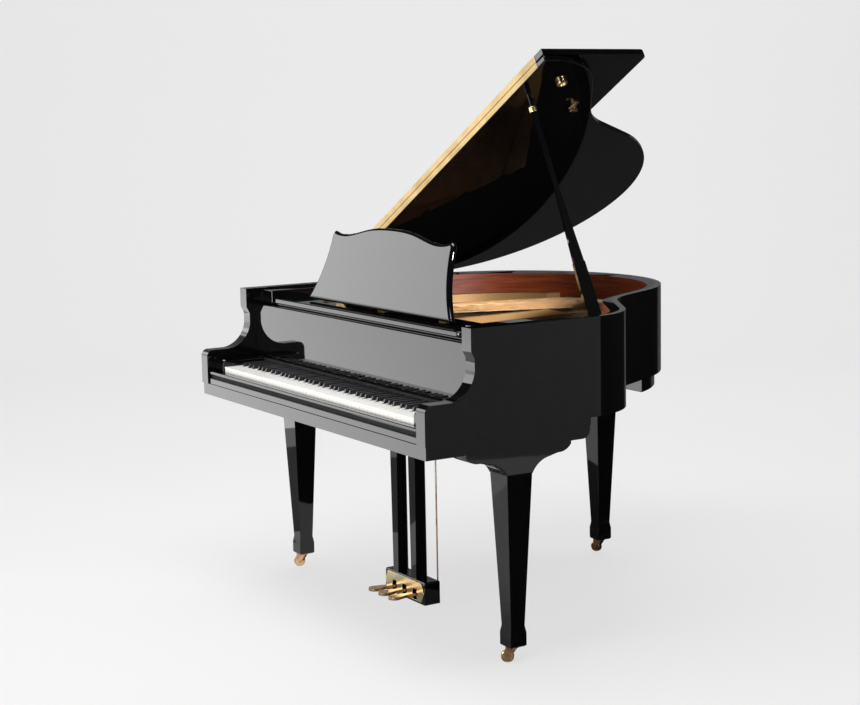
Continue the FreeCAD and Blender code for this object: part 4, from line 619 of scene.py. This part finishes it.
print("pitch", round(PITCH / MM, 2), "mm; black keys",
      sum(black_after(index) is not None for index in range(NATURALS)))

# %% Slabs, bricks and rods


def edges_of(verts):
    return {e for v in verts for e in v.link_edges}


def paint(verts, look):
    for face in {f for v in verts for f in v.link_faces}:
        face.material_index = look


def slab(bm, outline, low, high):
    """An outline in plan, extruded upwards; gives the top's corners."""
    base = bm.faces.new([bm.verts.new((x, y, low)) for x, y in outline])
    top = verts_in(bmesh.ops.extrude_face_region(bm, geom=[base])["geom"])
    bmesh.ops.translate(bm, verts=top, vec=(0, 0, high - low))
    return top


def brick(bm, low, high, width=0.0, look=0):
    box = Matrix.Translation((low + high) / 2) @ Matrix.Diagonal((*(high - low), 1.0))
    verts = bmesh.ops.create_cube(bm, size=1.0, matrix=box)["verts"]
    paint(verts, look)
    if width:
        soften(bm, edges_of(verts), width)
    return verts


def rod(bm, start, end, radius, sides=8, tip=None, look=0):
    along = end - start
    turn = along.to_track_quat("Z", "Y").to_matrix().to_4x4()
    verts = bmesh.ops.create_cone(
        bm, cap_ends=True, segments=sides, radius1=radius, radius2=radius if tip is None else tip,
        depth=along.length, matrix=Matrix.Translation((start + end) / 2) @ turn)["verts"]
    paint(verts, look)
    return verts


# %% White keys
CAP, FRONT_SET, BODY_LOW, CAP_ROUND = 3.0 * MM, 1.5 * MM, KEY_TOP - 24.0 * MM, 0.8 * MM
STICK_HALF, STICK_LOW, STICK_HIGH = 3.5 * MM, KEY_TOP - 32.0 * MM, KEY_TOP - 8.2 * MM
STICK_FRONT, STICK_BACK = KEY_FRONT + 59.0 * MM, KEY_FRONT + 398.0 * MM
LOOKS_FORWARD = -0.5


def key_plan(index, front):
    left, right = key_left(index) + KEY_GAP / 2, key_left(index + 1) - KEY_GAP / 2
    before, after = black_after(index - 1), black_after(index)
    reach = SHARP_HALF + TAIL_GAP
    tail_left = left if before is None else before + reach
    tail_right = right if after is None else after - reach
    head = KEY_FRONT + HEAD_LENGTH
    plan = [(left, front), (right, front)]
    plan += [(right, head), (tail_right, head)] if after is not None else []
    plan += [(tail_right, CAP_BACK), (tail_left, CAP_BACK)]
    plan += [(tail_left, head), (left, head)] if before is not None else []
    return plan, (tail_left + tail_right) / 2


def key_stick(bm, middle):
    brick(bm, Vector((middle - STICK_HALF, STICK_FRONT, STICK_LOW)),
          Vector((middle + STICK_HALF, STICK_BACK, STICK_HIGH)), look=1)


for part, (first, last) in REGISTERS.items():
    bm = bmesh.new()
    for index in range(first, last):
        plan, middle = key_plan(index, KEY_FRONT)
        top = slab(bm, plan, KEY_TOP - CAP, KEY_TOP)
        rims = {e for e in edges_of(top) if all(v in top for v in e.verts)}
        corners = edges_of(v for v in top if v.co.y < KEY_FRONT + CAP_ROUND)
        soften(bm, rims | corners, CAP_ROUND)
        slab(bm, key_plan(index, KEY_FRONT + FRONT_SET)[0], BODY_LOW, KEY_TOP - CAP)
        key_stick(bm, middle)
    for face in bm.faces:
        face.normal_update()
        low = face.calc_center_median().z < KEY_TOP - CAP
        face.material_index = 1 if low and face.normal.y > LOOKS_FORWARD else 0
    print("white keys,", part, len(bm.faces), "faces")
    make_piece(bm, "white_keys_" + part, "naturals_" + part, "natural_caps",
               ["natural_caps", "key_spruce"], ["naturals_" + part])

# %% Black keys
SHARP_TOP_SHARE, SHARP_SLOPE, SHARP_ROUND = 0.82, 9.0 * MM, 1.3 * MM
SHARP_STEPS, SHARP_LOW = 3, KEY_TOP - 12.0 * MM


def black_key(bm, middle):
    low = Vector((middle - SHARP_HALF, SHARP_FRONT, SHARP_LOW))
    high = Vector((middle + SHARP_HALF, CAP_BACK, SHARP_TOP))
    top = [v for v in brick(bm, low, high) if v.co.z > KEY_TOP]
    bmesh.ops.scale(bm, vec=(SHARP_TOP_SHARE, 1, 1), verts=top,
                    space=Matrix.Translation((-middle, 0, 0)))
    front = [v for v in top if v.co.y < SHARP_FRONT + SHARP_SLOPE]
    bmesh.ops.translate(bm, verts=front, vec=(0, SHARP_SLOPE, 0))
    soften(bm, edges_of(top), SHARP_ROUND, SHARP_STEPS)


for part, (first, last) in REGISTERS.items():
    bm = bmesh.new()
    for index in range(first, last):
        middle = black_after(index)
        if middle is not None:
            black_key(bm, middle)
            key_stick(bm, middle)
    print("black keys,", part, len(bm.faces), "faces")
    make_piece(bm, "black_keys_" + part, "sharps_" + part, "sharp_caps",
               ["sharp_caps", "key_spruce"], ["sharps_" + part])

# %% [markdown]
# A rail covered with felt lies over the keys behind their caps and keeps them from jumping.
# Its black felt also paints the deep shade under the fallboard. At the bass end a small
# button stands on the key block, and the closed fallboard comes down close above it. The
# button is a flattened sphere on a flange.

# %% Key stop rail and button
RAIL_LOW, RAIL_HIGH = spot(-668.0, 186.0, 734.5), spot(668.0, 204.0, 756.0)
RAIL_ROUND = 1.5 * MM
BUTTON_AT, BUTTON_RADIUS, BUTTON_FLATNESS = spot(-640.0, 46.0, 757.6), 4.2 * MM, 0.48
FLANGE_TALL, FLANGE_WIDTH, FLANGE_TOP = 0.6 * MM, 1.3, 1.15
BUTTON_SIDES, BUTTON_RINGS = 16, 10
bm = bmesh.new()
brick(bm, RAIL_LOW, RAIL_HIGH, RAIL_ROUND)
# Black felt, which also paints the deep shade under the fallboard.
make_piece(bm, "key_stop_rail", "case", "black_lacquer", ["black_felt"])
bm = bmesh.new()
flat = Matrix.Translation(BUTTON_AT) @ Matrix.Diagonal((1.0, 1.0, BUTTON_FLATNESS, 1.0))
bmesh.ops.create_uvsphere(bm, u_segments=BUTTON_SIDES, v_segments=BUTTON_RINGS,
                          radius=BUTTON_RADIUS, matrix=flat)
rod(bm, BUTTON_AT - UP * FLANGE_TALL, BUTTON_AT, BUTTON_RADIUS * FLANGE_WIDTH, BUTTON_SIDES,
    BUTTON_RADIUS * FLANGE_TOP)
make_piece(bm, "block_knob", "case", "string_steel")
print("rail", round((RAIL_HIGH - RAIL_LOW).x, 3), "m long")

# %% [markdown]
# ## Strings, pins and dampers
# The CAD holds one bar for each note. On the real piano most notes have three steel wires, the
# upper bass two and the lowest one, wound with copper. The bars are read from the merged CAD
# mesh, and each becomes its unison of round wires; the same goes for the pins that tune them,
# the agraffes that guide them and the dampers that lie on them. A wire has only a few sides,
# because hundreds of them are seen together and none close up.

# %% The loose parts of a CAD node


def loose_parts(node):
    bm = welded(node)
    left, parts = set(bm.verts), []
    while left:
        open_ends = [left.pop()]
        part = []
        while open_ends:
            vert = open_ends.pop()
            part.append(vert.co.copy())
            beside = {e.other_vert(vert) for e in vert.link_edges} & left
            left -= beside
            open_ends += beside
        parts.append(part)
    bm.free()
    return parts


def span_of(points):
    low = Vector(min(p[i] for p in points) for i in range(3))
    high = Vector(max(p[i] for p in points) for i in range(3))
    return low, high


def foot_of(low, high):
    return Vector(((low.x + high.x) / 2, (low.y + high.y) / 2, low.z))


# %% Sort the bars
WIRE_SHORTEST, BASS_HEIGHT = 100.0 * MM, 897.0 * MM
wires, studs = [], []
for part in loose_parts("strings"):
    low, high = span_of(part)
    if high.y - low.y < WIRE_SHORTEST:
        studs.append((low, high))
        continue
    halfway = (low.y + high.y) / 2
    wires.append((middle_of([p for p in part if p.y < halfway]),
                  middle_of([p for p in part if p.y > halfway])))
wires.sort(key=lambda ends: ends[0].x)
bass_wires = [ends for ends in wires if ends[0].z > BASS_HEIGHT]
plain_wires = [ends for ends in wires if ends[0].z <= BASS_HEIGHT]
pins = [span_of(part) for part in loose_parts("tuning_pins")]
print(len(bass_wires), "bass notes,", len(plain_wires), "plain notes,",
      len(studs), "studs,", len(pins), "pins")

# %% Unisons of wire
SINGLES, PLAIN_COUNT, BASS_COUNT = 9, 3, 2
PLAIN_APART, BASS_APART = 2.6 * MM, 2.4 * MM
PLAIN_RADIUS, CORE_RADIUS, WIRE_SIDES = 0.55 * MM, 0.7 * MM, 5
WOUND_RADIUS, LOWEST_RADIUS, WOUND_SIDES = 1.1 * MM, 1.7 * MM, 7
COPPER_STARTS, COPPER_ENDS = 0.02, 0.93
PIN_STEP, COIL_HEIGHT = Vector((4.4 * MM, 8.0 * MM, 0.0)), 7.0 * MM
steel, copper, pin_places = bmesh.new(), bmesh.new(), []


def unison(start, end, count, apart):
    """The wires of one note, each with its step to the pin it is wound on."""
    sideways = (end - start).cross(UP).normalized()
    for place in range(count):
        step = place - (count - 1) / 2
        yield start + sideways * step * apart, end + sideways * step * apart, step


def to_its_pin(start, step):
    low, high = min(pins, key=lambda p: abs((p[0].x + p[1].x) / 2 - start.x))
    foot = foot_of(low, high) + PIN_STEP * step
    pin_places.append((foot, high.z - low.z))
    rod(steel, start, foot + UP * COIL_HEIGHT, PLAIN_RADIUS, WIRE_SIDES)


for start, end in plain_wires:
    for near, far, step in unison(start, end, PLAIN_COUNT, PLAIN_APART):
        rod(steel, near, far, PLAIN_RADIUS, WIRE_SIDES)
        to_its_pin(near, step)
for place, (start, end) in enumerate(bass_wires):
    lowest = place < SINGLES
    for near, far, step in unison(start, end, 1 if lowest else BASS_COUNT, BASS_APART):
        rod(steel, near, far, CORE_RADIUS, WIRE_SIDES)
        rod(copper, near.lerp(far, COPPER_STARTS), near.lerp(far, COPPER_ENDS),
            LOWEST_RADIUS if lowest else WOUND_RADIUS, WOUND_SIDES)
        to_its_pin(near, step)
print(len(steel.faces) + len(copper.faces), "faces of wire")
# The wires' warm tint is a painted reflection of the plate and the wood under them.
make_piece(steel, "steel_wires", "case", "string_steel", None, ["strings"])
make_piece(copper, "copper_windings", "case", "string_steel", ["bass_copper"])

# %% Tuning pins, agraffes and hitch pins
PIN_RADIUS, PIN_HEAD, HEAD_TAPER, HEAD_SIDES = 3.3 * MM, 9.0 * MM, 2.3 * MM, 4
COIL_RADIUS, COIL_DEPTH = 4.5 * MM, 4.0 * MM
STUD_COLLAR, STUD_COLLAR_SHARE, COLLAR_SIDES = 3.6 * MM, 0.45, 6
bm = bmesh.new()
for foot, height in pin_places:
    neck, coil = foot + UP * (height - PIN_HEAD), foot + UP * COIL_HEIGHT
    rod(bm, foot, neck, PIN_RADIUS)
    rod(bm, neck, foot + UP * height, PIN_RADIUS, HEAD_SIDES, HEAD_TAPER)
    rod(bm, coil - UP * COIL_DEPTH / 2, coil + UP * COIL_DEPTH / 2, COIL_RADIUS)
make_piece(bm, "wound_tuning_pins", "case", "string_steel", None, ["tuning_pins"])
bm = bmesh.new()
for low, high in studs:
    foot = foot_of(low, high)
    top = foot + UP * (high.z - low.z)
    rod(bm, foot, top, (high.x - low.x) / 2)
    rod(bm, foot, foot.lerp(top, STUD_COLLAR_SHARE), STUD_COLLAR, COLLAR_SIDES)
make_piece(bm, "agraffes_and_hitch_pins", "case", "brass")
print(len(pin_places), "tuning pins")

# %% Dampers
FELT_SHARE, WEDGE_SHARE, HEAD_INSET, HEAD_ROUND = 0.34, 0.55, 0.4 * MM, 1.6 * MM
bm = bmesh.new()
for part in loose_parts("dampers"):
    low, high = span_of(part)
    seam = low.z + (high.z - low.z) * FELT_SHARE
    wedge = brick(bm, low, Vector((high.x, high.y, seam)), look=1)
    bmesh.ops.scale(bm, vec=(WEDGE_SHARE, 1, 1),
                    verts=[v for v in wedge if v.co.z < seam - HEAD_INSET],
                    space=Matrix.Translation((-(low.x + high.x) / 2, 0, 0)))
    inset = Vector((HEAD_INSET, HEAD_INSET, 0))
    brick(bm, Vector((low.x, low.y, seam)) + inset, high - inset, HEAD_ROUND)
print("dampers", len(bm.faces), "faces")
make_piece(bm, "damper_heads", "dampers", "damper_wood",
           ["damper_wood", "hammer_felt"], ["dampers"])

# %% [markdown]
# A hammer is a maple shank and a maple core with thick felt drawn round it. The felt is an egg,
# stretched from a sphere, and the core narrows upwards into it.

# %% Hammers
SHANK_RADIUS, SHANK_RISE, SHANK_SIDES = 2.6 * MM, 9.0 * MM, 6
FELT_TALL, FELT_LONG, FELT_SIDES, FELT_RINGS = 17.0 * MM, 11.0 * MM, 8, 6
CORE_HALF, CORE_TAPER = 5.0 * MM, 0.4
bm = bmesh.new()
for part in loose_parts("hammers"):
    low, high = span_of(part)
    across, strike, shank = (low.x + high.x) / 2, high.y - FELT_LONG, low.z + SHANK_RISE
    rod(bm, Vector((across, low.y, shank)), Vector((across, strike, shank)),
        SHANK_RADIUS, SHANK_SIDES, look=1)
    core = brick(bm, Vector((low.x, strike - CORE_HALF, low.z)),
                 Vector((high.x, strike + CORE_HALF, high.z - FELT_TALL / 2)), look=1)
    bmesh.ops.scale(bm, vec=(1, CORE_TAPER, 1), verts=[v for v in core if v.co.z > shank],
                    space=Matrix.Translation((0, -strike, 0)))
    egg = Matrix.Translation((across, strike, high.z - FELT_TALL)) @ Matrix.Diagonal(
        ((high.x - low.x) / 2, FELT_LONG, FELT_TALL, 1.0))
    bmesh.ops.create_uvsphere(bm, u_segments=FELT_SIDES, v_segments=FELT_RINGS, radius=1.0,
                              matrix=egg)
print("hammers", len(bm.faces), "faces")
make_piece(bm, "hammer_heads", "action", "hammer_felt",
           ["hammer_felt", "bridge_maple"], ["hammers"])

# %% [markdown]
# ## Plate bolts
# The plate is held down by a row of bolts along its edge. Rays cast outwards from the middle
# find the lining, a step back inwards and a ray downwards find the plate there, and each bolt
# gets a washer and a six-sided head.

# %% Bolts round the plate
BOLT_COUNT, BOLT_INSET, BASS_SIDE = 30, 21.0 * MM, -300.0 * MM
BOLT_HEAD, BOLT_TALL, BOLT_SIDES, BOLT_CHAMFER = 6.0 * MM, 8.0 * MM, 6, 0.8 * MM
WASHER, WASHER_TALL, WASHER_SIDES = 9.0 * MM, 2.0 * MM, 16
lining_mesh, plate_mesh = merged("rim_lining"), merged("plate")
lining_tree, plate_tree = BVHTree.FromBMesh(lining_mesh), BVHTree.FromBMesh(plate_mesh)
bm, bolts = bmesh.new(), 0
for place in range(BOLT_COUNT):
    outwards = Matrix.Rotation(math.tau * place / BOLT_COUNT, 3, "Z") @ Vector((1, 0, 0))
    wall = lining_tree.ray_cast(well_middle, outwards)[0]
    seat = wall and plate_tree.ray_cast(wall - outwards * BOLT_INSET, -UP)[0]
    if not seat or seat.x < BASS_SIDE:
        continue
    rod(bm, seat, seat + UP * WASHER_TALL, WASHER, WASHER_SIDES)
    head = rod(bm, seat + UP * WASHER_TALL, seat + UP * BOLT_TALL, BOLT_HEAD, BOLT_SIDES)
    top = [v for v in head if v.co.z > seat.z + BOLT_TALL - BOLT_CHAMFER]
    soften(bm, edges_of(top), BOLT_CHAMFER, 1)
    bolts += 1
lining_mesh.free()
plate_mesh.free()
make_piece(bm, "plate_bolts", "case", "brass", ["caster_brass"])
print(bolts, "bolts")

# %% [markdown]
# ## The studio
# The piano stands on a plain pale sweep: a floor that bends up into a backdrop, so that no line
# shows between them. Its paper is lit as any surface is, and part of a plain glow is mixed into
# what the camera and the mirrors see of it. The glow lights nothing, so the background is pale
# without more light on the piano.

# %% Floor and backdrop
VIEW_DIRECTION = Vector((-0.838, 0.528, 0.0)).normalized()
SWEEP_HALF, SWEEP_FAR, SWEEP_NEAR, SWEEP_RADIUS, SWEEP_TOP = 9.0, 5.0, 9.0, 2.0, 6.0
SWEEP_STEPS, PAPER_GLOW, PAPER_SHARE = 16, (0.95,) * 3, 0.70
PAPER_SCALE, PAPER_DARK, PAPER_PALE = 0.6, (0.66,) * 3, (0.70,) * 3
SEEN_RAYS = ("Is Camera Ray", "Is Glossy Ray", "Is Transmission Ray")


def edges_in(geom):
    return [part for part in geom if isinstance(part, bmesh.types.BMEdge)]


def set_up(bm, name, finish):
    """Makes a bmesh a part of the studio."""
    mesh = bpy.data.meshes.new(name)
    bm.to_mesh(mesh)
    bm.free()
    mesh.materials.append(finish.material)
    made = bpy.data.objects.new(name, mesh)
    scene.collection.objects.link(made)
    return made


def sweep():
    bm = bmesh.new()
    across = Vector((VIEW_DIRECTION.y, -VIEW_DIRECTION.x, 0.0))
    near = [bm.verts.new(across * (side * SWEEP_HALF) - VIEW_DIRECTION * SWEEP_NEAR)
            for side in (-1, 1)]
    floor = bmesh.ops.extrude_edge_only(bm, edges=[bm.edges.new(near)])["geom"]
    far = verts_in(floor)
    bmesh.ops.translate(bm, verts=far, vec=VIEW_DIRECTION * (SWEEP_NEAR + SWEEP_FAR))
    turned = bmesh.ops.spin(
        bm, geom=far + edges_in(floor), cent=VIEW_DIRECTION * SWEEP_FAR + UP * SWEEP_RADIUS,
        axis=across, angle=math.radians(90), steps=SWEEP_STEPS)["geom_last"]
    wall = bmesh.ops.extrude_edge_only(bm, edges=edges_in(turned))["geom"]
    bmesh.ops.translate(bm, verts=verts_in(wall), vec=UP * SWEEP_TOP)
    return bm


paper = Finish("studio_paper", Roughness=0.9)
paper.set("Base Color", paper.mix(paper.noise(PAPER_SCALE), PAPER_DARK, PAPER_PALE))
seen = sum(paper.add("ShaderNodeLightPath", output=ray) for ray in SEEN_RAYS)
paper.mix_in(seen * PAPER_SHARE, paper.add("ShaderNodeEmission", {}, {"Color": PAPER_GLOW}))
set_up(sweep(), "studio_sweep", paper).data.shade_smooth()
print("sweep", 2 * SWEEP_HALF, "m wide")

# %% [markdown]
# Two soft panels at the left front are there only to be mirrored: the tall one by the fallboard
# and the front of the key bed, the upper one by the music desk. A wide panel overhead, a fill in
# front and a panel on the backdrop light the scene, and a narrow spot reaches under the lid to
# the plate. A panel's power follows from how bright its face is and how large.

# %% Lamps
PANELS = {  # place, aim, width, height, brightness of the face, seen in mirrors alone
    "front_left_panel": ((-2.135, -1.926, 1.05), (0.165, 0.024, 0.9), 1.6, 2.1, 2.4, True),
    "front_left_upper": ((-2.15, -1.8, 1.65), (0.15, 0.15, 1.5), 1.8, 0.9, 1.65, True),
    "overhead_panel": ((0.2, -1.05, 3.7), (0.0, -0.6, 0.75), 3.0, 1.4, 8.2, False),
    "front_fill": ((1.4, -4.6, 0.85), (0.0, -0.6, 0.72), 2.4, 1.2, 15.0, False),
    "backdrop_panel": ((-2.0, 1.3, 5.0), (-4.6, 2.9, 1.0), 5.0, 1.0, 7.0, False)}
WELL_LAMP_PLACE, WELL_LAMP_AIM = (4.4, 0.4, 1.85), (-0.5, -0.05, 0.97)
WELL_LAMP_POWER, WELL_LAMP_SIZE, WELL_LAMP_ANGLE, WELL_LAMP_BLEND = 820.0, 0.25, 15.0, 0.7


def place_lamp(lamp, where, aim):
    made = bpy.data.objects.new(lamp.name, lamp)
    made.location = where
    made.rotation_euler = (Vector(aim) - Vector(where)).to_track_quat("-Z", "Y").to_euler()
    scene.collection.objects.link(made)
    return made


for name, (where, aim, width, height, brightness, only_mirrored) in PANELS.items():
    lamp = bpy.data.lights.new(name, "AREA")
    lamp.shape = "RECTANGLE"
    lamp.size, lamp.size_y = width, height
    lamp.energy = brightness * math.pi * width * height
    made = place_lamp(lamp, where, aim)
    made.visible_camera = False
    made.visible_diffuse = not only_mirrored
    print(name, round(lamp.energy), "W")
lamp = bpy.data.lights.new("string_well_lamp", "SPOT")
lamp.energy, lamp.shadow_soft_size = WELL_LAMP_POWER, WELL_LAMP_SIZE
lamp.spot_size, lamp.spot_blend = math.radians(WELL_LAMP_ANGLE), WELL_LAMP_BLEND
place_lamp(lamp, WELL_LAMP_PLACE, WELL_LAMP_AIM)

# %% [markdown]
# Black lacquer looks the way its surroundings look. In a studio large dark cloths, called flags,
# stand out of the picture so that the curved side, the legs and the lid mirror darkness instead
# of paper. Here they are seen by mirrored rays alone, and so they cast no shadow. Between the
# low flags and the high one a grey one stands for the rim's top edge, and flags of several
# greys lie on the floor.

# %% Flags
FLAG_RADIUS, FLAG_STEPS, LOW_TOP, HIGH_FOOT, HIGH_TOP = 3.4, 48, 0.95, 2.2, 7.0
OFF_FLOOR, DEEP_BLACK, CLOTH_SCALE, CLOTH_FADE = 0.004, 0.002, 40.0, 1.4
LOW_FLAG = (FLAG_RADIUS, 0.0), (FLAG_RADIUS, LOW_TOP)
FLAGS = {  # two ends as radius and height, where the sweep begins and ends in degrees, grey
    "low_flag": (*LOW_FLAG, 40, 109, DEEP_BLACK),
    "edge_flag": (*LOW_FLAG, 109, 152, 0.11),
    "slit_flag": ((FLAG_RADIUS, LOW_TOP), (FLAG_RADIUS, HIGH_FOOT), 90, 200, 0.17),
    "side_flag": (*LOW_FLAG, 5, 40, 0.33),
    "high_flag": ((FLAG_RADIUS, HIGH_FOOT), (FLAG_RADIUS, HIGH_TOP), 0, 360, DEEP_BLACK),
    "floor_flag_right": ((0.05, OFF_FLOOR), (3.0, OFF_FLOOR), -25, 80, DEEP_BLACK),
    "floor_flag_front": ((0.3, OFF_FLOOR), (1.8, OFF_FLOOR), 238, 335, 0.40),
    "floor_flag_lyre": ((1.2, OFF_FLOOR), (2.6, OFF_FLOOR), 204, 226, 0.12),
    "floor_flag_back": ((0.05, OFF_FLOOR), (3.4, OFF_FLOOR), 80, 190, 0.045)}


def hang(bm, name, grey, one_sided=False):
    """Makes a bmesh a cloth that only mirrored rays see."""
    cloth = Finish(name + "_cloth", Roughness=0.95)
    cloth.set("Base Color", cloth.mix(
        cloth.noise(CLOTH_SCALE), (grey,) * 3, (grey * CLOTH_FADE,) * 3))
    if one_sided:
        cloth.mix_in(cloth.add("ShaderNodeNewGeometry", output="Backfacing"),
                     cloth.add("ShaderNodeBsdfTransparent"))
    made = set_up(bm, name, cloth)
    made.visible_camera = made.visible_diffuse = made.visible_shadow = False
    made.visible_transmission = made.visible_volume_scatter = False


for name, (low_end, high_end, begin, end, grey) in FLAGS.items():
    bm = bmesh.new()
    turn = Matrix.Rotation(math.radians(begin), 3, "Z")
    ends = [bm.verts.new(turn @ Vector((x, 0.0, z))) for x, z in (low_end, high_end)]
    bmesh.ops.spin(bm, geom=ends + [bm.edges.new(ends)], cent=(0, 0, 0), axis=(0, 0, 1),
                   angle=math.radians(end - begin), steps=FLAG_STEPS)
    hang(bm, name, grey)
print(len(FLAGS), "flags")

# %% [markdown]
# The lid's underside mirrors the string well. In the photograph it stays nearly black there and
# shows a dim band of strings beside the hinge. So two black covers lie just below the rim's
# top, cut from the soundboard's outline, and leave that band open. They are one-sided: rays
# that come up from the strings and the plate pass through, and the metal keeps its gloss.

# %% Covers over the string well
COVER_DROP = 5.0 * MM
COVERS = {  # a place on the cut, and the side of it that stays
    "well_flag_bass": ((-0.494, 0.033, 0.0), (-0.469, 0.227, 0.0)),
    "well_flag_tail": ((0.0, 0.44, 0.0), (0.15, 1.0, 0.0))}
cover_rise = rim_high.z - COVER_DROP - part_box("soundboard")[1].z
for name, (edge, kept_side) in COVERS.items():
    cover = merged("soundboard")
    bmesh.ops.translate(cover, verts=cover.verts, vec=UP * cover_rise)
    bmesh.ops.bisect_plane(cover, geom=everything(cover), plane_co=edge, plane_no=kept_side,
                           clear_inner=True)
    cover.normal_update()
    bmesh.ops.delete(cover, geom=[f for f in cover.faces if f.normal.z < LOOKS_UP],
                     context="FACES")
    print(name, len(cover.faces), "faces")
    hang(cover, name, DEEP_BLACK, one_sided=True)

# %% [markdown]
# The world fills the shadows with an even grey. Mirrors see it almost black, as they would see
# the dark room behind the lamps. Standard keeps the colours as they are written.

# %% World and view
ROOM_LIGHT, ROOM_MIRRORED = (0.28, 0.28, 0.29), (0.02, 0.02, 0.022)
scene.world = bpy.data.worlds.new("studio")
scene.world.use_nodes = True
sky = Nodes(scene.world.node_tree)
in_mirrors = sky.add("ShaderNodeLightPath", output="Is Glossy Ray")
sky.feed(sky.tree.nodes["Background"].inputs["Color"],
         sky.mix(in_mirrors, ROOM_LIGHT, ROOM_MIRRORED))
scene.view_settings.view_transform = "Standard"
print("world", scene.world.name)

# %% [markdown]
# The camera stands where the photograph was taken from. Its place, its angles and its focal
# length in pixels were fitted to points of the piano in the photograph, and the lens shift
# carries the middle of that fit.

# %% Camera
CAMERA_PLACE = (4.6096, -3.0772, 1.5782)
YAW, PITCH_DOWN, ROLL = (math.radians(angle) for angle in (57.7714, -7.9721, -1.0293))
FOCAL_PIXELS, CENTRE_X, CENTRE_Y = 1719.7438, 448.4249, 350.5021
IMAGE_WIDTH, IMAGE_HEIGHT, SENSOR = 860, 705, 36.0
lens = bpy.data.cameras.new("photograph")
lens.sensor_width = SENSOR
lens.lens = FOCAL_PIXELS * SENSOR / IMAGE_WIDTH
lens.shift_x = (IMAGE_WIDTH / 2 - CENTRE_X) / IMAGE_WIDTH
lens.shift_y = (CENTRE_Y - IMAGE_HEIGHT / 2) / IMAGE_WIDTH
ahead = Vector((-math.sin(YAW) * math.cos(PITCH_DOWN), math.cos(YAW) * math.cos(PITCH_DOWN),
                math.sin(PITCH_DOWN)))
level = Vector((math.cos(YAW), math.sin(YAW), 0.0))
upright = level.cross(ahead)
sideways = level * math.cos(ROLL) + upright * math.sin(ROLL)
upwards = upright * math.cos(ROLL) - level * math.sin(ROLL)
camera = bpy.data.objects.new("photograph", lens)
camera.matrix_world = Matrix.Translation(CAMERA_PLACE) @ Matrix(
    (sideways, upwards, -ahead)).transposed().to_4x4()
scene.collection.objects.link(camera)
scene.camera = camera
print("lens", round(lens.lens, 1), "mm")
